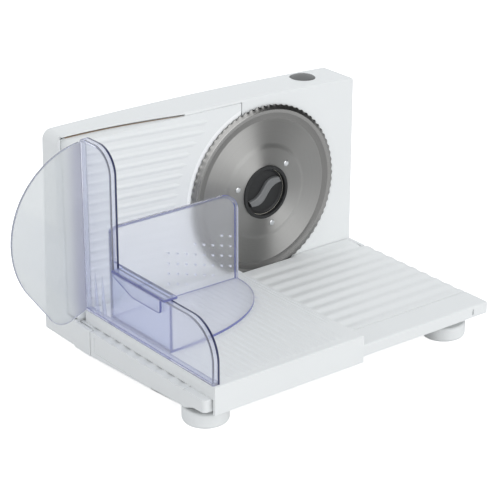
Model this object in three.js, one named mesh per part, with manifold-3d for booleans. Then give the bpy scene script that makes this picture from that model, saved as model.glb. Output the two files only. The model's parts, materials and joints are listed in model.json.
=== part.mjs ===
import * as THREE from "three";
import { mergeVertices } from "three/addons/utils/BufferGeometryUtils.js";
import Module from "manifold-3d";

// Sizes in millimetres: X along the machine, Y away from the user, Z up
// The blade axis is X = 0 and the cutting edge lies in the plane Y = 0

// Clearances and laps
const RUN = 0.05;
const SEAT = 0.02;
const SLIDE = 0.2;
const MOVE = 0.4;
const LAP = 1;
const PAST = 6;

// Housing
const WALL = 2.5;
const HOUSING_LEFT = -214;
const HOUSING_RIGHT = 112;
const HOUSING_FOOT = 6;
const FRONT_Y = 2.5;
const BACK_TOP = 45;
const BACK_FOOT = 54;
const CROWN_RIM = 11.1;
const CROWN_INSET = 94;
const ARCH_FALL = 5.9;
const EDGE_ROUND = 2;
const CORNER_LEFT = 9;
const CORNER_RIGHT = 3.5;
const CORNER_FOOT = 4;
const COVER_T = 3;
const EAR_T = 5;
const EAR_REACH = 22.5;
const PARTITION_X = -46;
const POST_R = 4;
const PILOT_R = 1.25;

// Cutter and drive
const BLADE_R = 85;
const BLADE_DIP = 8.5;
const TEETH = 76;
const TOOTH_DEPTH = 0.95;
const BEVEL_W = 13;
const BLADE_FRONT = -2.6;
const BLADE_T = 1.4;
const HUB_Y = 3.2;
const RING_R = 26.2;
const RING_BORE = 22.8;
const RING_DEEP = 1.2;
const RIVET_R = 2;
const AXLE_R = 4;
const IDLER_R = 2.5;
const SHAFT_R = 1.8;
const MODULE = 2;
const Z_BLADE = 36;
const Z_PINION = 9;
const Z_WHEEL = 24;
const MESH_DEG = -20;
const GEAR_Y = 5;
const GEAR_T = 7;
const WHEEL_T = 5;
const MOTOR_R = 22;
const MOTOR_L = 22;
const GEAR_PLATE_T = 2;

// Tray and feet
const TRAY_TOP = 32;
const TRAY_FRONT = -192;
const RAIL_H = 11.3;
const RAIL_W = 29.5;
const WAVE_PITCH = 16.2;
const WAVE_H = 0.9;
const HINGE_R = 3;
const FOOT_R = 20.5;
const FOOT_H = 14;
const REAR_FOOT_R = 11;
const REAR_FOOT_Y = 30;

// Carriage, guard and pusher
const CAR_H = 12.5;
const CAR_INSET = 8.5;
const CAR_R = -43;
const CAR_BACK_L = -2.5;
const CAR_BACK_R = -17;
const CAR_RIB_PITCH = 7;
const GUARD_RISE = 3.4;
const GUARD_LOW_H = 53;
const GUARD_T = 2.5;
const GUARD_STEP = 46.2;
const RIM_W = 7.5;
const RIM_T = 2.2;
const NOSE_R = 34.5;
const SHIELD_R = 83.5;
const SHIELD_T = 2.5;
const PUSH_H = 88;
const PUSH_Y = -35;
const PUSH_T = 2.5;
const PUSH_DEPTH = 91;
const SPIKE_PITCH = 10;

// Guide plate, knob and button
const PLATE_Y = 1;
const PLATE_T = 2.5;
const PLATE_TUCK = 1.5;
const PLATE_END = -26;
const PLATE_RIB_PITCH = 9.1;
const PARTING_DEPTH = 16.5;
const GUIDE_TRAVEL = 15;
const ROD_R = 3;
const KNOB_R = 19.4;
const KNOB_T = 13.3;
const SPINDLE_R = 5.05;
const BUTTON_R = 12.2;
const BUTTON_Y = 28.5;

// Places that follow from the sizes
const RADIAN = Math.PI / 180;
const AXLE_Z = TRAY_TOP + BLADE_R - BLADE_DIP;
const CROWN_Z = AXLE_Z + BLADE_R + CROWN_RIM;
const CROWN_X = HOUSING_LEFT + CROWN_INSET;
const ABOVE = CROWN_Z + 4 * PAST;
const FRONT_IN = FRONT_Y + WALL;
const RAIL_Z = TRAY_TOP - RAIL_H;
const SEAM_Y = TRAY_FRONT + RAIL_W;
const TRAY_LEFT = HOUSING_LEFT + 1;
const HINGE = [FRONT_Y - EAR_REACH + 10, TRAY_TOP - 12];
const CAR_L = HOUSING_LEFT + CAR_INSET;
const CAR_TOP = TRAY_TOP + CAR_H;
const CAR_FRONT = TRAY_FRONT - 5;
const GUARD_X = CAR_L - 0.5;
const GUARD_BACK = CAR_BACK_L - 0.3;
const GUARD_TOP = CROWN_Z + GUARD_RISE;
const GUARD_LOW = CAR_TOP + GUARD_LOW_H;
const GUARD_NOSE = CAR_FRONT + 2.5;
const SHIELD = [GUARD_X + 10, GUARD_TOP - SHIELD_R - 2.5];
const PUSH_L = GUARD_X + RIM_W + 2;
const PUSH_R = CAR_R - 15;
const PUSH_TOP = CAR_TOP + PUSH_H;
const PLATE_LEFT = HOUSING_LEFT + WALL + MOVE;
const PLATE_ARC = BLADE_R - PLATE_TUCK;
const PLATE_BOTTOM = TRAY_TOP + 2.5;
const PLATE_FALL = WALL + MOVE;
const PARTING_RIGHT = -BLADE_R - 4;
const KNOB = [HOUSING_LEFT + 64, AXLE_Z + 9.5];
const ROD_X = KNOB[0] - 15;
const ROD_Z = [KNOB[1] - 48, KNOB[1] + 42];
const OUTLET = [PARTITION_X - 40, PARTITION_X - 4, PLATE_BOTTOM + 9.5, AXLE_Z + 55.5];
const BUTTON = [HOUSING_RIGHT - 43, BUTTON_Y];
const GLAND = [HOUSING_RIGHT - 28, HOUSING_FOOT + 24];
const SCREW_IN = 9;
const COVER_SCREWS = [[HOUSING_RIGHT - SCREW_IN, CROWN_Z - 20.6],
  [HOUSING_RIGHT - SCREW_IN, HOUSING_FOOT + 12], [-10, CROWN_Z - 11.6], [PARTITION_X + 8, HOUSING_FOOT + 12],
  [HOUSING_LEFT + SCREW_IN, CROWN_Z - 54.6], [HOUSING_LEFT + SCREW_IN, HOUSING_FOOT + 12]];
const FEET = [["front_left", HOUSING_LEFT + 20, TRAY_FRONT + 24, FOOT_R, FOOT_H],
  ["front_right", HOUSING_RIGHT - 32, TRAY_FRONT + 24, FOOT_R, FOOT_H],
  ["rear_left", HOUSING_LEFT + 26, REAR_FOOT_Y, REAR_FOOT_R, HOUSING_FOOT],
  ["rear_right", HOUSING_RIGHT - 24, REAR_FOOT_Y, REAR_FOOT_R, HOUSING_FOOT]];

const wasm = await Module();
wasm.setup();

// Solids from three.js geometry
function solid(geometry) {
  const plain = geometry.clone();
  for (const name of ["normal", "uv"]) plain.deleteAttribute(name);
  const merged = mergeVertices(plain, 1e-4);
  const position = merged.attributes.position;
  const corner = (k) => new THREE.Vector3().fromBufferAttribute(position, k);
  const triangles = [];
  let volume = 0;
  for (let i = 0; i < merged.index.count; i += 3) {
    const [a, b, c] = [0, 1, 2].map((k) => merged.index.getX(i + k));
    if (a === b || b === c || a === c) continue;
    triangles.push([a, b, c]);
    volume += corner(a).dot(corner(b).cross(corner(c)));
  }
  const turned = volume < 0 ? triangles.map(([a, b, c]) => [b, a, c]) : triangles;
  const vertProperties = Float32Array.from(position.array);
  const triVerts = Uint32Array.from(turned.flat());
  return new wasm.Manifold(new wasm.Mesh({ numProp: 3, vertProperties, triVerts }));
}
const union = (...bodies) => bodies.flat().reduce((a, b) => a.add(b));
const cut = (body, ...tools) => tools.flat().reduce((a, b) => a.subtract(b), body);
const range = (n) => Array.from({ length: n }, (_, i) => i);
const polar = (cx, cy, r, degrees) => {
  const a = degrees * RADIAN;
  return [cx + r * Math.cos(a), cy + r * Math.sin(a)];
};
const arc = (cx, cy, r, from, to, n) => range(n + 1).map(
  (i) => polar(cx, cy, r, from + (to - from) * i / n));
const rounded = (x0, x1, z0, z1, r, n) => [
  ...arc(x0 + r, z0 + r, r, 180, 270, n), ...arc(x1 - r, z0 + r, r, 270, 360, n),
  ...arc(x1 - r, z1 - r, r, 0, 90, n), ...arc(x0 + r, z1 - r, r, 90, 180, n)];
const vectors = (points) => points.map(([u, v]) => new THREE.Vector2(u, v));
function extrude(points, depth) {
  return new THREE.ExtrudeGeometry(new THREE.Shape(vectors(points)), { depth, bevelEnabled: false });
}
const X_FROM_DEPTH = new THREE.Matrix4().set(0, 0, 1, 0, 1, 0, 0, 0, 0, 1, 0, 0, 0, 0, 0, 1);
const prismXY = (points, z0, z1) => solid(extrude(points, z1 - z0).translate(0, 0, z0));
const prismXZ = (points, y0, y1) => solid(
  extrude(points, y1 - y0).rotateX(Math.PI / 2).translate(0, y1, 0));
const prismYZ = (points, x0, x1) => solid(
  extrude(points, x1 - x0).applyMatrix4(X_FROM_DEPTH).translate(x0, 0, 0));
function box(x0, x1, y0, y1, z0, z1) {
  const block = new THREE.BoxGeometry(x1 - x0, y1 - y0, z1 - z0);
  return solid(block.translate((x0 + x1) / 2, (y0 + y1) / 2, (z0 + z1) / 2));
}
const rod = (r, length, sides) => new THREE.CylinderGeometry(r, r, length, sides);
const cylX = (r, x0, x1, y, z, n = 16) => solid(
  rod(r, x1 - x0, n).rotateZ(Math.PI / 2).translate((x0 + x1) / 2, y, z));
const cylY = (r, y0, y1, x, z, n = 16) => solid(rod(r, y1 - y0, n).translate(x, (y0 + y1) / 2, z));
const cylZ = (r, z0, z1, x, y, n = 16) => solid(
  rod(r, z1 - z0, n).rotateX(Math.PI / 2).translate(x, y, (z0 + z1) / 2));
const revolve = (profile, sides) => new THREE.LatheGeometry(vectors([...profile, profile[0]]), sides);
const latheY = (profile, x, z, n = 32) => solid(revolve(profile, n).translate(x, 0, z));
const latheZ = (profile, x, y, n = 32) => solid(
  revolve(profile, n).rotateX(Math.PI / 2).translate(x, y, 0));

// A body through rings of equal count, each a list of 3D points, closed by flat ends
function loft(rings, flatten) {
  const n = rings[0].length;
  const quad = (a, b, c, d) => [a, b, c, a, c, d];
  const sides = range(rings.length - 1).flatMap((k) => range(n).flatMap((i) => {
    const j = (i + 1) % n;
    return quad(k * n + i, k * n + j, k * n + n + j, k * n + n + i);
  }));
  const end = (ring) => {
    const flat = vectors(ring.map(flatten));
    const { area, triangulateShape } = THREE.ShapeUtils;
    const triangles = triangulateShape(flat, []);
    const same = area(flat) * area(triangles[0].map((k) => flat[k])) > 0;
    return same ? triangles : triangles.map(([a, b, c]) => [b, a, c]);
  };
  const first = end(rings[0]).flatMap(([a, b, c]) => [c, b, a]);
  const last = end(rings.at(-1)).flat().map((k) => k + (rings.length - 1) * n);
  const body = new THREE.BufferGeometry();
  body.setAttribute("position", new THREE.Float32BufferAttribute(rings.flat(2), 3));
  body.setIndex([...sides, ...first, ...last]);
  return solid(body);
}

// Housing form: an arched top, a back that leans out to the foot, an oblique parting for the guide plate
const topZ = (x) => CROWN_Z - ARCH_FALL * ((x - CROWN_X) / (HOUSING_RIGHT - CROWN_X)) ** 2;
const backY = (z) => BACK_FOOT + (BACK_TOP - BACK_FOOT) * (z - HOUSING_FOOT) / (CROWN_Z - HOUSING_FOOT);
const archPoints = (x0, x1, n, drop) => range(n + 1).map((i) => {
  const x = x0 + (x1 - x0) * i / n;
  return [x, topZ(x) - drop];
});
function outline(inset) {
  const [l, r, b] = [HOUSING_LEFT + inset, HOUSING_RIGHT - inset, HOUSING_FOOT + inset];
  const [rl, rr, rb] = [CORNER_LEFT, CORNER_RIGHT, CORNER_FOOT].map((radius) => Math.max(radius - inset, 1));
  return [...arc(l + rb, b + rb, rb, 180, 270, 3), ...arc(r - rb, b + rb, rb, 270, 360, 3),
    ...arc(r - rr, topZ(r - rr) - inset - rr, rr, 0, 80, 3), ...archPoints(r - rr, l + rl, 9, inset),
    ...arc(l + rl, topZ(l + rl) - inset - rl, rl, 100, 180, 4)];
}
const partingY = (x) => {
  const share = Math.min(1, (PARTING_RIGHT - x) / (PARTING_RIGHT - HOUSING_LEFT));
  return FRONT_Y + PARTING_DEPTH * Math.sin(share * Math.PI / 2);
};
function partingPlan(step) {
  const left = HOUSING_LEFT - PAST;
  const edge = range(9).map((i) => left + (PARTING_RIGHT - left) * i / 8);
  const front = PLATE_Y - 2 * PAST;
  return [...edge.map((x) => [x, partingY(x) + step]), [PARTING_RIGHT, front], [left, front]];
}
function behind(near, far) {
  const section = [[near(0), 0], [far(0), 0], [far(ABOVE), ABOVE], [near(ABOVE), ABOVE]];
  return prismYZ(section, HOUSING_LEFT - PAST, HOUSING_RIGHT + PAST);
}

// Involute gears with shortened wheel tips and a little backlash
const pitchR = (teeth) => MODULE * teeth / 2;
function gear(teeth, addendum, phase, y0, y1, [x, z]) {
  const pitch = pitchR(teeth);
  const base = pitch * Math.cos(20 * RADIAN);
  const root = pitch - 1.2 * MODULE;
  const tip = pitch + addendum * MODULE;
  const roll = (r) => Math.acos(Math.min(1, base / r));
  const involute = (r) => Math.tan(roll(r)) - roll(r);
  const half = (r) => Math.PI / (2 * teeth) - 0.12 / pitch + involute(pitch) - involute(Math.max(r, base));
  const radii = teeth > 20 ? [root, pitch, tip] : [root, base, pitch, tip];
  const flank = radii.map((r) => [r, half(r) / RADIAN]);
  const points = range(teeth).flatMap((i) => {
    const centre = phase + 360 * i / teeth;
    const rising = flank.map(([r, h]) => [r, centre - h]);
    const falling = flank.map(([r, h]) => [r, centre + h]).reverse();
    return [...rising, ...falling];
  });
  return prismXZ(points.map(([r, a]) => polar(x, z, r, a)), y0, y1);
}
const AXLE = [0, AXLE_Z];
const IDLER = polar(...AXLE, pitchR(Z_BLADE + Z_PINION), MESH_DEG);
const MOTOR = polar(...IDLER, pitchR(Z_WHEEL + Z_PINION), MESH_DEG);
const PINION_PHASE = MESH_DEG + 180 + 180 / Z_PINION;
const WHEEL_Y = GEAR_Y + GEAR_T + 1.2;
const GEAR_PLATE_Y = WHEEL_Y + WHEEL_T + 1.8;
const GEAR_PLATE_BACK = GEAR_PLATE_Y + GEAR_PLATE_T;
const FLANGE_R = pitchR(Z_BLADE) + 3.5;
const RIVETS = range(3).map((i) => polar(...AXLE, FLANGE_R - 5.5, 163.6 + 120 * i));
const LEFT_POST = FLANGE_R + POST_R + 1.5;
const RIGHT_POST = MOTOR[0] + MOTOR_R + 2.7;
const POSTS = [polar(...AXLE, LEFT_POST, 221), polar(...AXLE, LEFT_POST, 139),
  [RIGHT_POST, MOTOR[1] - 17.8], [RIGHT_POST, MOTOR[1] + 20.2]];

function frontHousing() {
  const ring = (inset, y) => outline(inset).map(([x, z]) => [x, y, z]);
  const round = [0, 45, 90].map((a) => polar(0, 0, EDGE_ROUND, a)).map(
    ([c, s]) => ring(EDGE_ROUND - s, FRONT_Y + EDGE_ROUND - c));
  const block = loft([...round, ring(0, BACK_FOOT + PAST)], ([x, , z]) => [x, z]);
  const cavity = prismXZ(outline(WALL), FRONT_IN, BACK_FOOT + 2 * PAST);
  const shell = cut(block.intersect(behind(() => -PAST, backY)), cavity);
  const ears = [HOUSING_LEFT, HOUSING_RIGHT - EAR_T].map(
    (x) => box(x, x + EAR_T, FRONT_Y - EAR_REACH, FRONT_Y + EDGE_ROUND + LAP, HOUSING_FOOT, TRAY_TOP));
  const inside = COVER_T + SLIDE;
  const partition = box(PARTITION_X, PARTITION_X + WALL, FRONT_Y + LAP, backY(OUTLET[3] + 1) - inside,
    HOUSING_FOOT + 1, OUTLET[3] + 1);
  const bosses = COVER_SCREWS.map(([x, z]) => {
    const onLeft = x < KNOB[0];
    const onPartition = x > PARTITION_X && x < PARTITION_X + 16;
    const onTop = !onPartition && x > PARTITION_X && x < BUTTON[0];
    const x0 = onLeft ? HOUSING_LEFT + LAP : onPartition ? PARTITION_X + LAP : x - 5;
    const x1 = x > BUTTON[0] ? HOUSING_RIGHT - LAP : x + 5;
    const high = onTop ? topZ(x) - LAP : z + 5;
    return box(x0, x1, BACK_TOP - 6.6, backY(z + 5) - inside, z - 5, high);
  });
  const posts = POSTS.map(([x, z]) => cylY(POST_R, FRONT_Y + LAP, GEAR_PLATE_Y, x, z, 8));
  const hangers = [BUTTON[0] - 16.6, BUTTON[0] + 14.5].map(
    (x) => box(x, x + 2.1, BUTTON_Y - 9, BUTTON_Y + 9, topZ(x) - 34, topZ(x) - LAP));
  const idlerBoss = cylY(IDLER_R + 2.5, FRONT_Y + LAP, GEAR_Y + 0.4, ...IDLER);
  const body = union(shell, ears, partition, bosses, posts, hangers, idlerBoss);

  const under = PLATE_BOTTOM - LAP;
  const front = PLATE_Y - 2 * PAST;
  const wedge = prismXY(partingPlan(0), under, ABOVE);
  const lipLeft = HOUSING_LEFT + WALL;
  const lipLow = CROWN_Z - 24.6;
  const lipTop = archPoints(PARTING_RIGHT, lipLeft, 8, 1.3);
  const underLip = prismXZ([...lipTop, [lipLeft, lipLow], [PARTING_RIGHT, lipLow]], front, BACK_TOP);
  const lipRoom = prismXY(partingPlan(4), lipLow - PAST, ABOVE).intersect(underLip);
  const through = FRONT_IN + SEAT;
  const opening = prismXZ([[HOUSING_LEFT + WALL, under], [PARTITION_X, under],
    ...archPoints(PARTITION_X, HOUSING_LEFT + WALL, 6, WALL + 0.1)], front, through);
  const above = prismXZ([[PARTITION_X - LAP, AXLE_Z], [PLATE_END + 2, AXLE_Z],
    ...archPoints(PLATE_END + 2, PARTITION_X - LAP, 4, WALL)], front, through);
  const keep = cylY(PLATE_ARC - 0.7, 2 * front, -2 * front, ...AXLE, 64);
  const gearHole = cylY(FLANGE_R + 2, front, through + SEAT, ...AXLE, 32);
  const buttonHole = cylZ(BUTTON_R + 0.35, CROWN_Z - 15, ABOVE, ...BUTTON, 32);
  const pilots = [...COVER_SCREWS.map(([x, z]) => cylY(PILOT_R, BACK_TOP - 15, BACK_FOOT + PAST, x, z, 6)),
    ...POSTS.map(([x, z]) => cylY(PILOT_R, GEAR_PLATE_Y - 11, GEAR_PLATE_BACK, x, z, 6))];
  const idlerSeat = cylY(IDLER_R + RUN, FRONT_Y + 0.9, GEAR_Y + 4, ...IDLER);
  const pinHoles = [HOUSING_LEFT - 1, HOUSING_RIGHT - EAR_T - 1].map(
    (x) => cylX(HINGE_R + RUN, x, x + EAR_T + 2, ...HINGE));
  const parted = cut(body, wedge, lipRoom, opening, cut(above, keep));
  return cut(parted, gearHole, buttonHole, pilots, idlerSeat, pinHoles);
}

function rearCover() {
  const reach = [BACK_TOP - 15, BACK_FOOT + 2 * PAST];
  const panel = prismXZ(outline(WALL + SLIDE), ...reach).intersect(behind((z) => backY(z) - COVER_T, backY));
  const window = prismXZ(rounded(...OUTLET, 4, 3), ...reach);
  const vents = range(7).map((i) => MOTOR[1] - 20 + 6.5 * i).map(
    (z) => box(MOTOR[0] - 18, MOTOR[0] + 18, ...reach, z, z + 2.8));
  const screwSeats = COVER_SCREWS.flatMap(([x, z]) => [cylY(PILOT_R + 0.5, ...reach, x, z, 6),
    cylY(3.6, backY(z) - 1.8, reach[1], x, z, 8)]);
  const rodSeats = ROD_Z.map((z) => cylY(ROD_R + RUN, reach[0], backY(z) - 1, ROD_X, z));
  const spindleHole = cylY(SPINDLE_R + SLIDE, ...reach, ...KNOB);
  const glandHole = cylY(5 + SLIDE, ...reach, ...GLAND, 20);
  return cut(panel, window, vents, screwSeats, rodSeats, spindleHole, glandHole);
}

function baseTray() {
  const first = -12;
  const quarter = WAVE_PITCH / 4;
  const steps = Math.floor((first - SEAM_Y - 2) / quarter) + 1;
  const wave = range(steps).map((i) => [first - i * quarter, i * Math.PI / 2]).map(
    ([y, a]) => [y, TRAY_TOP - WAVE_H * (1 - Math.cos(a)) / 2]);
  const low = TRAY_TOP - WALL;
  const seam = [[SEAM_Y + 0.5, TRAY_TOP], [SEAM_Y, TRAY_TOP - 0.9], [SEAM_Y - 0.5, TRAY_TOP]];
  const nose = [[TRAY_FRONT + 1, TRAY_TOP], [TRAY_FRONT, TRAY_TOP - 1], [TRAY_FRONT, low]];
  const top = prismYZ([[FRONT_Y - 1, low], [FRONT_Y - 1, TRAY_TOP], ...wave, ...seam, ...nose],
    TRAY_LEFT, HOUSING_RIGHT);
  const under = TRAY_TOP - 2;
  const side = (back, front) => [[0, back], [0, under], [TRAY_FRONT, under], [TRAY_FRONT, RAIL_Z],
    [TRAY_FRONT + 16, RAIL_Z - 1], [TRAY_FRONT + 28, front], [-EAR_REACH, back]];
  const foot = HOUSING_FOOT + 2;
  const walls = [prismYZ(side(foot - 1.5, FOOT_H + 1), TRAY_LEFT, TRAY_LEFT + WALL),
    prismYZ(side(foot + 6, FOOT_H + 3), HOUSING_RIGHT - WALL, HOUSING_RIGHT),
    box(TRAY_LEFT, HOUSING_RIGHT, TRAY_FRONT, TRAY_FRONT + WALL, RAIL_Z, under),
    box(TRAY_LEFT, HOUSING_RIGHT, -2 * WALL, -WALL, foot, under)];
  const earGap = 0.7;
  const notch = EAR_T + earGap;
  const notchFront = FRONT_Y - EAR_REACH - earGap;
  const hingeWalls = [HOUSING_LEFT + notch, HOUSING_RIGHT - notch - WALL].map(
    (x) => box(x, x + WALL, notchFront - WALL - 0.8, -WALL, foot, under));
  const returns = [TRAY_LEFT, HOUSING_RIGHT - notch - WALL].map(
    (x) => box(x, x + notch + 1.5, notchFront - WALL, notchFront, foot + 1, under));
  const stiffeners = range(4).map((i) => HOUSING_LEFT + 64 + 60 * i).map(
    (x) => box(x, x + 2, TRAY_FRONT + 1, -3, TRAY_TOP - 8, under));
  const pads = FEET.slice(0, 2).map(([, x, y, r, h]) => cylZ(r - 8.5, h, under, x, y, 24));
  const notches = [HOUSING_LEFT - PAST, HOUSING_RIGHT - notch].map(
    (x) => box(x, x + PAST + notch, notchFront, FRONT_Y + PAST, -PAST, TRAY_TOP + PAST));
  const slit = box(HOUSING_RIGHT - 19.2, HOUSING_RIGHT - 16.6, TRAY_FRONT - 1, TRAY_FRONT + 1.2,
    RAIL_Z + 2.3, RAIL_Z + 8.3);
  const recess = box(TRAY_LEFT - 1, TRAY_LEFT + 0.7, SEAM_Y + 4.5, notchFront - 5.3,
    FOOT_H - 2, TRAY_TOP - 5);
  const bladeRoom = cylY(BLADE_R + 1.5, -2.3, PAST, ...AXLE, 64);
  const pinHoles = [HOUSING_LEFT + 4, HOUSING_RIGHT - 10].map((x) => cylX(HINGE_R + RUN, x, x + 6, ...HINGE));
  const body = union(top, walls, hingeWalls, returns, stiffeners, pads);
  return cut(body, notches, slit, recess, bladeRoom, pinHoles);
}

function carriageTable() {
  const foot = TRAY_TOP + 0.1;
  const plan = (d) => [[CAR_L + d, CAR_FRONT + d], [CAR_R - d, CAR_FRONT + d], [CAR_R - d, CAR_BACK_R - d],
    [CAR_L + d, CAR_BACK_L - d]];
  const shell = cut(prismXY(plan(0), foot, CAR_TOP), prismXY(plan(WALL), foot - PAST, CAR_TOP - WALL));
  const hem = RAIL_Z - 2.4;
  const skirt = box(CAR_L, CAR_R, CAR_FRONT, CAR_FRONT + 2.6, hem, CAR_TOP - LAP);
  const hook = box(CAR_L + 8, CAR_R - 8, CAR_FRONT, TRAY_FRONT + 5, hem, RAIL_Z - SLIDE);
  const runners = range(3).map((i) => CAR_L + 40 + 40 * i).map(
    (x) => box(x, x + 2, CAR_FRONT + 2, CAR_BACK_R - 3, foot, CAR_TOP - 2));
  const rib = (x, half, y0, y1, height) => prismXZ([[x - half, CAR_TOP - 0.2], [x + half, CAR_TOP - 0.2],
    [x + 0.4 * half, CAR_TOP + height], [x - 0.4 * half, CAR_TOP + height]], y0, y1);
  const count = Math.floor((CAR_R - CAR_L - 36.5) / CAR_RIB_PITCH) + 1;
  const ribs = range(count).map(
    (i) => rib(CAR_L + 19.5 + CAR_RIB_PITCH * i, 2.4, CAR_FRONT + 6, CAR_BACK_R - 7, 0.5));
  const edgeRibs = range(3).map((i) => rib(CAR_R - 3.5 - 3.6 * i, 1, CAR_FRONT + 40, CAR_BACK_R - 5, 0.4));
  return union(shell, skirt, hook, runners, ribs, edgeRibs);
}

// Guard silhouette in YZ: a tall hand screen, then a low rail with a round nose
function guardOutline(inset) {
  const foot = CAR_TOP + SEAT + inset;
  const step = GUARD_BACK - GUARD_STEP;
  return [[GUARD_BACK - inset, foot], ...arc(GUARD_BACK - 5.2, GUARD_TOP - 5.2, 5.2 - inset, 0, 90, 3),
    ...arc(step + 24, GUARD_TOP - 24, 24 - inset, 90, 180, 7), [step + inset, GUARD_LOW - inset],
    ...arc(GUARD_NOSE + NOSE_R, GUARD_LOW - NOSE_R, NOSE_R - inset, 90, 180, 8), [GUARD_NOSE + inset, foot]];
}
function sideGuard() {
  const plate = prismYZ(guardOutline(0), GUARD_X, GUARD_X + GUARD_T);
  const rim = cut(prismYZ(guardOutline(0), GUARD_X, GUARD_X + RIM_W),
    prismYZ(guardOutline(RIM_T), GUARD_X - LAP, GUARD_X + RIM_W + LAP));
  const foot = CAR_TOP + LAP;
  const shield = prismXZ([[GUARD_X + LAP, foot], [GUARD_X + LAP, GUARD_TOP - 4],
    ...arc(...SHIELD, SHIELD_R, 97, 212, 24), ...arc(GUARD_X - 22, CAR_TOP + 11.5, 19, 205, 285, 5)],
    GUARD_BACK - SHIELD_T, GUARD_BACK);
  const peak = GUARD_LOW - 4.5;
  const gusset = [[GUARD_X + LAP, foot], [GUARD_X + RIM_W - LAP, foot], [GUARD_X + GUARD_T + 0.2, peak],
    [GUARD_X + LAP, peak]];
  const gussets = [16.2, 27.7].map((d) => GUARD_BACK - d).map((y) => prismXZ(gusset, y - 0.7, y + 0.7));
  return union(plate, rim, shield, gussets);
}

function foodPusher() {
  const back = PUSH_Y + PUSH_T;
  const base = CAR_TOP + 0.6;
  const high = GUARD_LOW + 2.6;
  const end = back - PUSH_DEPTH;
  const face = prismXZ([[PUSH_L, base], [PUSH_R, base], ...arc(PUSH_R - 17, PUSH_TOP - 17, 17, 0, 90, 7),
    ...arc(PUSH_L + 6, PUSH_TOP - 6, 6, 90, 180, 3)], PUSH_Y, back);
  const sweep = range(13).map((i) => i * Math.PI / 24).map((a) => [
    PUSH_L + (PUSH_R - PUSH_L) * Math.cos(a) ** 0.86, back - PUSH_DEPTH * Math.sin(a) ** 0.92]);
  const floor = prismXY([[PUSH_L, back], ...sweep], base, base + 2.4);
  const wallT = 2.3;
  const wall = box(PUSH_L, PUSH_L + wallT, end, back, base, high);
  const flapX = GUARD_X - MOVE - 2.2;
  const saddle = box(flapX, PUSH_L + wallT, end - 6.5, GUARD_BACK - GUARD_STEP - 2, high - wallT, high);
  const flap = prismYZ([[end + 70.5, high - 0.6], [end + 70.5, high - 5], [end + 41.5, high - 15],
    ...arc(end + 2.5, high - 12, 3, 270, 180, 3), [end - 0.5, high - 0.6]], flapX, flapX + 2.2);
  const spikes = range(32).map((i) => [Math.floor(i / 4), i % 4]).map(([column, row]) => {
    const spike = new THREE.CylinderGeometry(0.15, 1.2, 3.4, 4);
    const rise = (5 + 3 * column) % SPIKE_PITCH + SPIKE_PITCH * row;
    return solid(spike.translate(PUSH_R - 7 - SPIKE_PITCH * column, back + 1.6, CAR_TOP + 10.5 + rise));
  });
  return union(face, floor, wall, saddle, flap, spikes);
}

const CAM_ROOT = backY(KNOB[1]) - 6.4;
const FOLLOWER_END = CAM_ROOT - GUIDE_TRAVEL - 1.5;
const CAM_IN = 8;
const CAM_OUT = 13.8;
function guidePlate() {
  const crest = archPoints(PLATE_END, PLATE_LEFT + 6, 8, PLATE_FALL);
  const cornerAt = [PLATE_LEFT + 6, topZ(PLATE_LEFT + 6) - PLATE_FALL - 6];
  const foot = 180 + Math.asin((AXLE_Z - PLATE_BOTTOM) / PLATE_ARC) / RADIAN;
  const end = Math.acos(PLATE_END / PLATE_ARC) / RADIAN;
  const face = prismXZ([[PLATE_LEFT, PLATE_BOTTOM], ...arc(...AXLE, PLATE_ARC, foot, end, 30),
    ...crest, ...arc(...cornerAt, 6, 90, 180, 3)], PLATE_Y, PLATE_Y + PLATE_T);
  const hood = (d) => prismXZ([[PLATE_LEFT + d, PLATE_BOTTOM - d], [PARTING_RIGHT, PLATE_BOTTOM - d],
    ...archPoints(PARTING_RIGHT, PLATE_LEFT + 6, 8, PLATE_FALL + d), ...arc(...cornerAt, 6 - d, 90, 180, 3)],
    PLATE_Y - d, BACK_TOP - 5 + d);
  const walls = cut(hood(0), hood(2.3)).intersect(prismXY(partingPlan(3.5), 0, ABOVE));
  const sleeves = ROD_Z.map((z) => cylY(2 * ROD_R, PLATE_Y + LAP, FRONT_Y + 26, ROD_X, z));
  const arm = KNOB[0] + CAM_IN + 0.5;
  const follower = box(arm, arm + 5, PLATE_Y + LAP, FOLLOWER_END, KNOB[1] - 0.5, KNOB[1] + 0.5);
  const gusset = box(arm + 1.5, arm + 3.5, PLATE_Y + LAP, FOLLOWER_END - 12, KNOB[1] - 12, KNOB[1] + 12);
  const bevel = latheY([[PLATE_ARC - 3, PLATE_Y - 3], [PLATE_ARC + 8, PLATE_Y - 0.4],
    [PLATE_ARC - 3, PLATE_Y + 1.9]], ...AXLE, 72);
  const nick = box(PARTITION_X - MOVE, 0, PLATE_Y - PAST, PLATE_Y + PLATE_T + PAST, 0, AXLE_Z);
  const slope = 0.055;
  const count = Math.floor((CROWN_Z - PLATE_BOTTOM - 24.5) / PLATE_RIB_PITCH) + 1;
  const ribs = range(count).map((i) => PLATE_BOTTOM + 11.5 + PLATE_RIB_PITCH * i).map((z) => {
    const reach = Math.sqrt(Math.max(0, (PLATE_ARC + 17) ** 2 - (z - AXLE_Z) ** 2));
    const [x0, x1] = [PLATE_LEFT + 14, Math.min(PARTITION_X - 18, -reach)];
    const ring = (x, lift) => [[0.5, 0], [0.5, 4.6], [-0.6, 3.1], [-0.6, 1.5]].map(
      ([y, h]) => [x, PLATE_Y + y, z + h + lift - slope * 40]);
    return loft([ring(x0, slope * (x1 - x0)), ring(x1, 0)], ([, y, h]) => [y, h]);
  });
  const bores = ROD_Z.map((z) => cylY(ROD_R + RUN, PLATE_Y + PLATE_T + 0.5, BACK_TOP, ROD_X, z));
  return cut(union(cut(union(face, walls, sleeves, follower, gusset), bevel, nick), ribs), bores);
}

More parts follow.
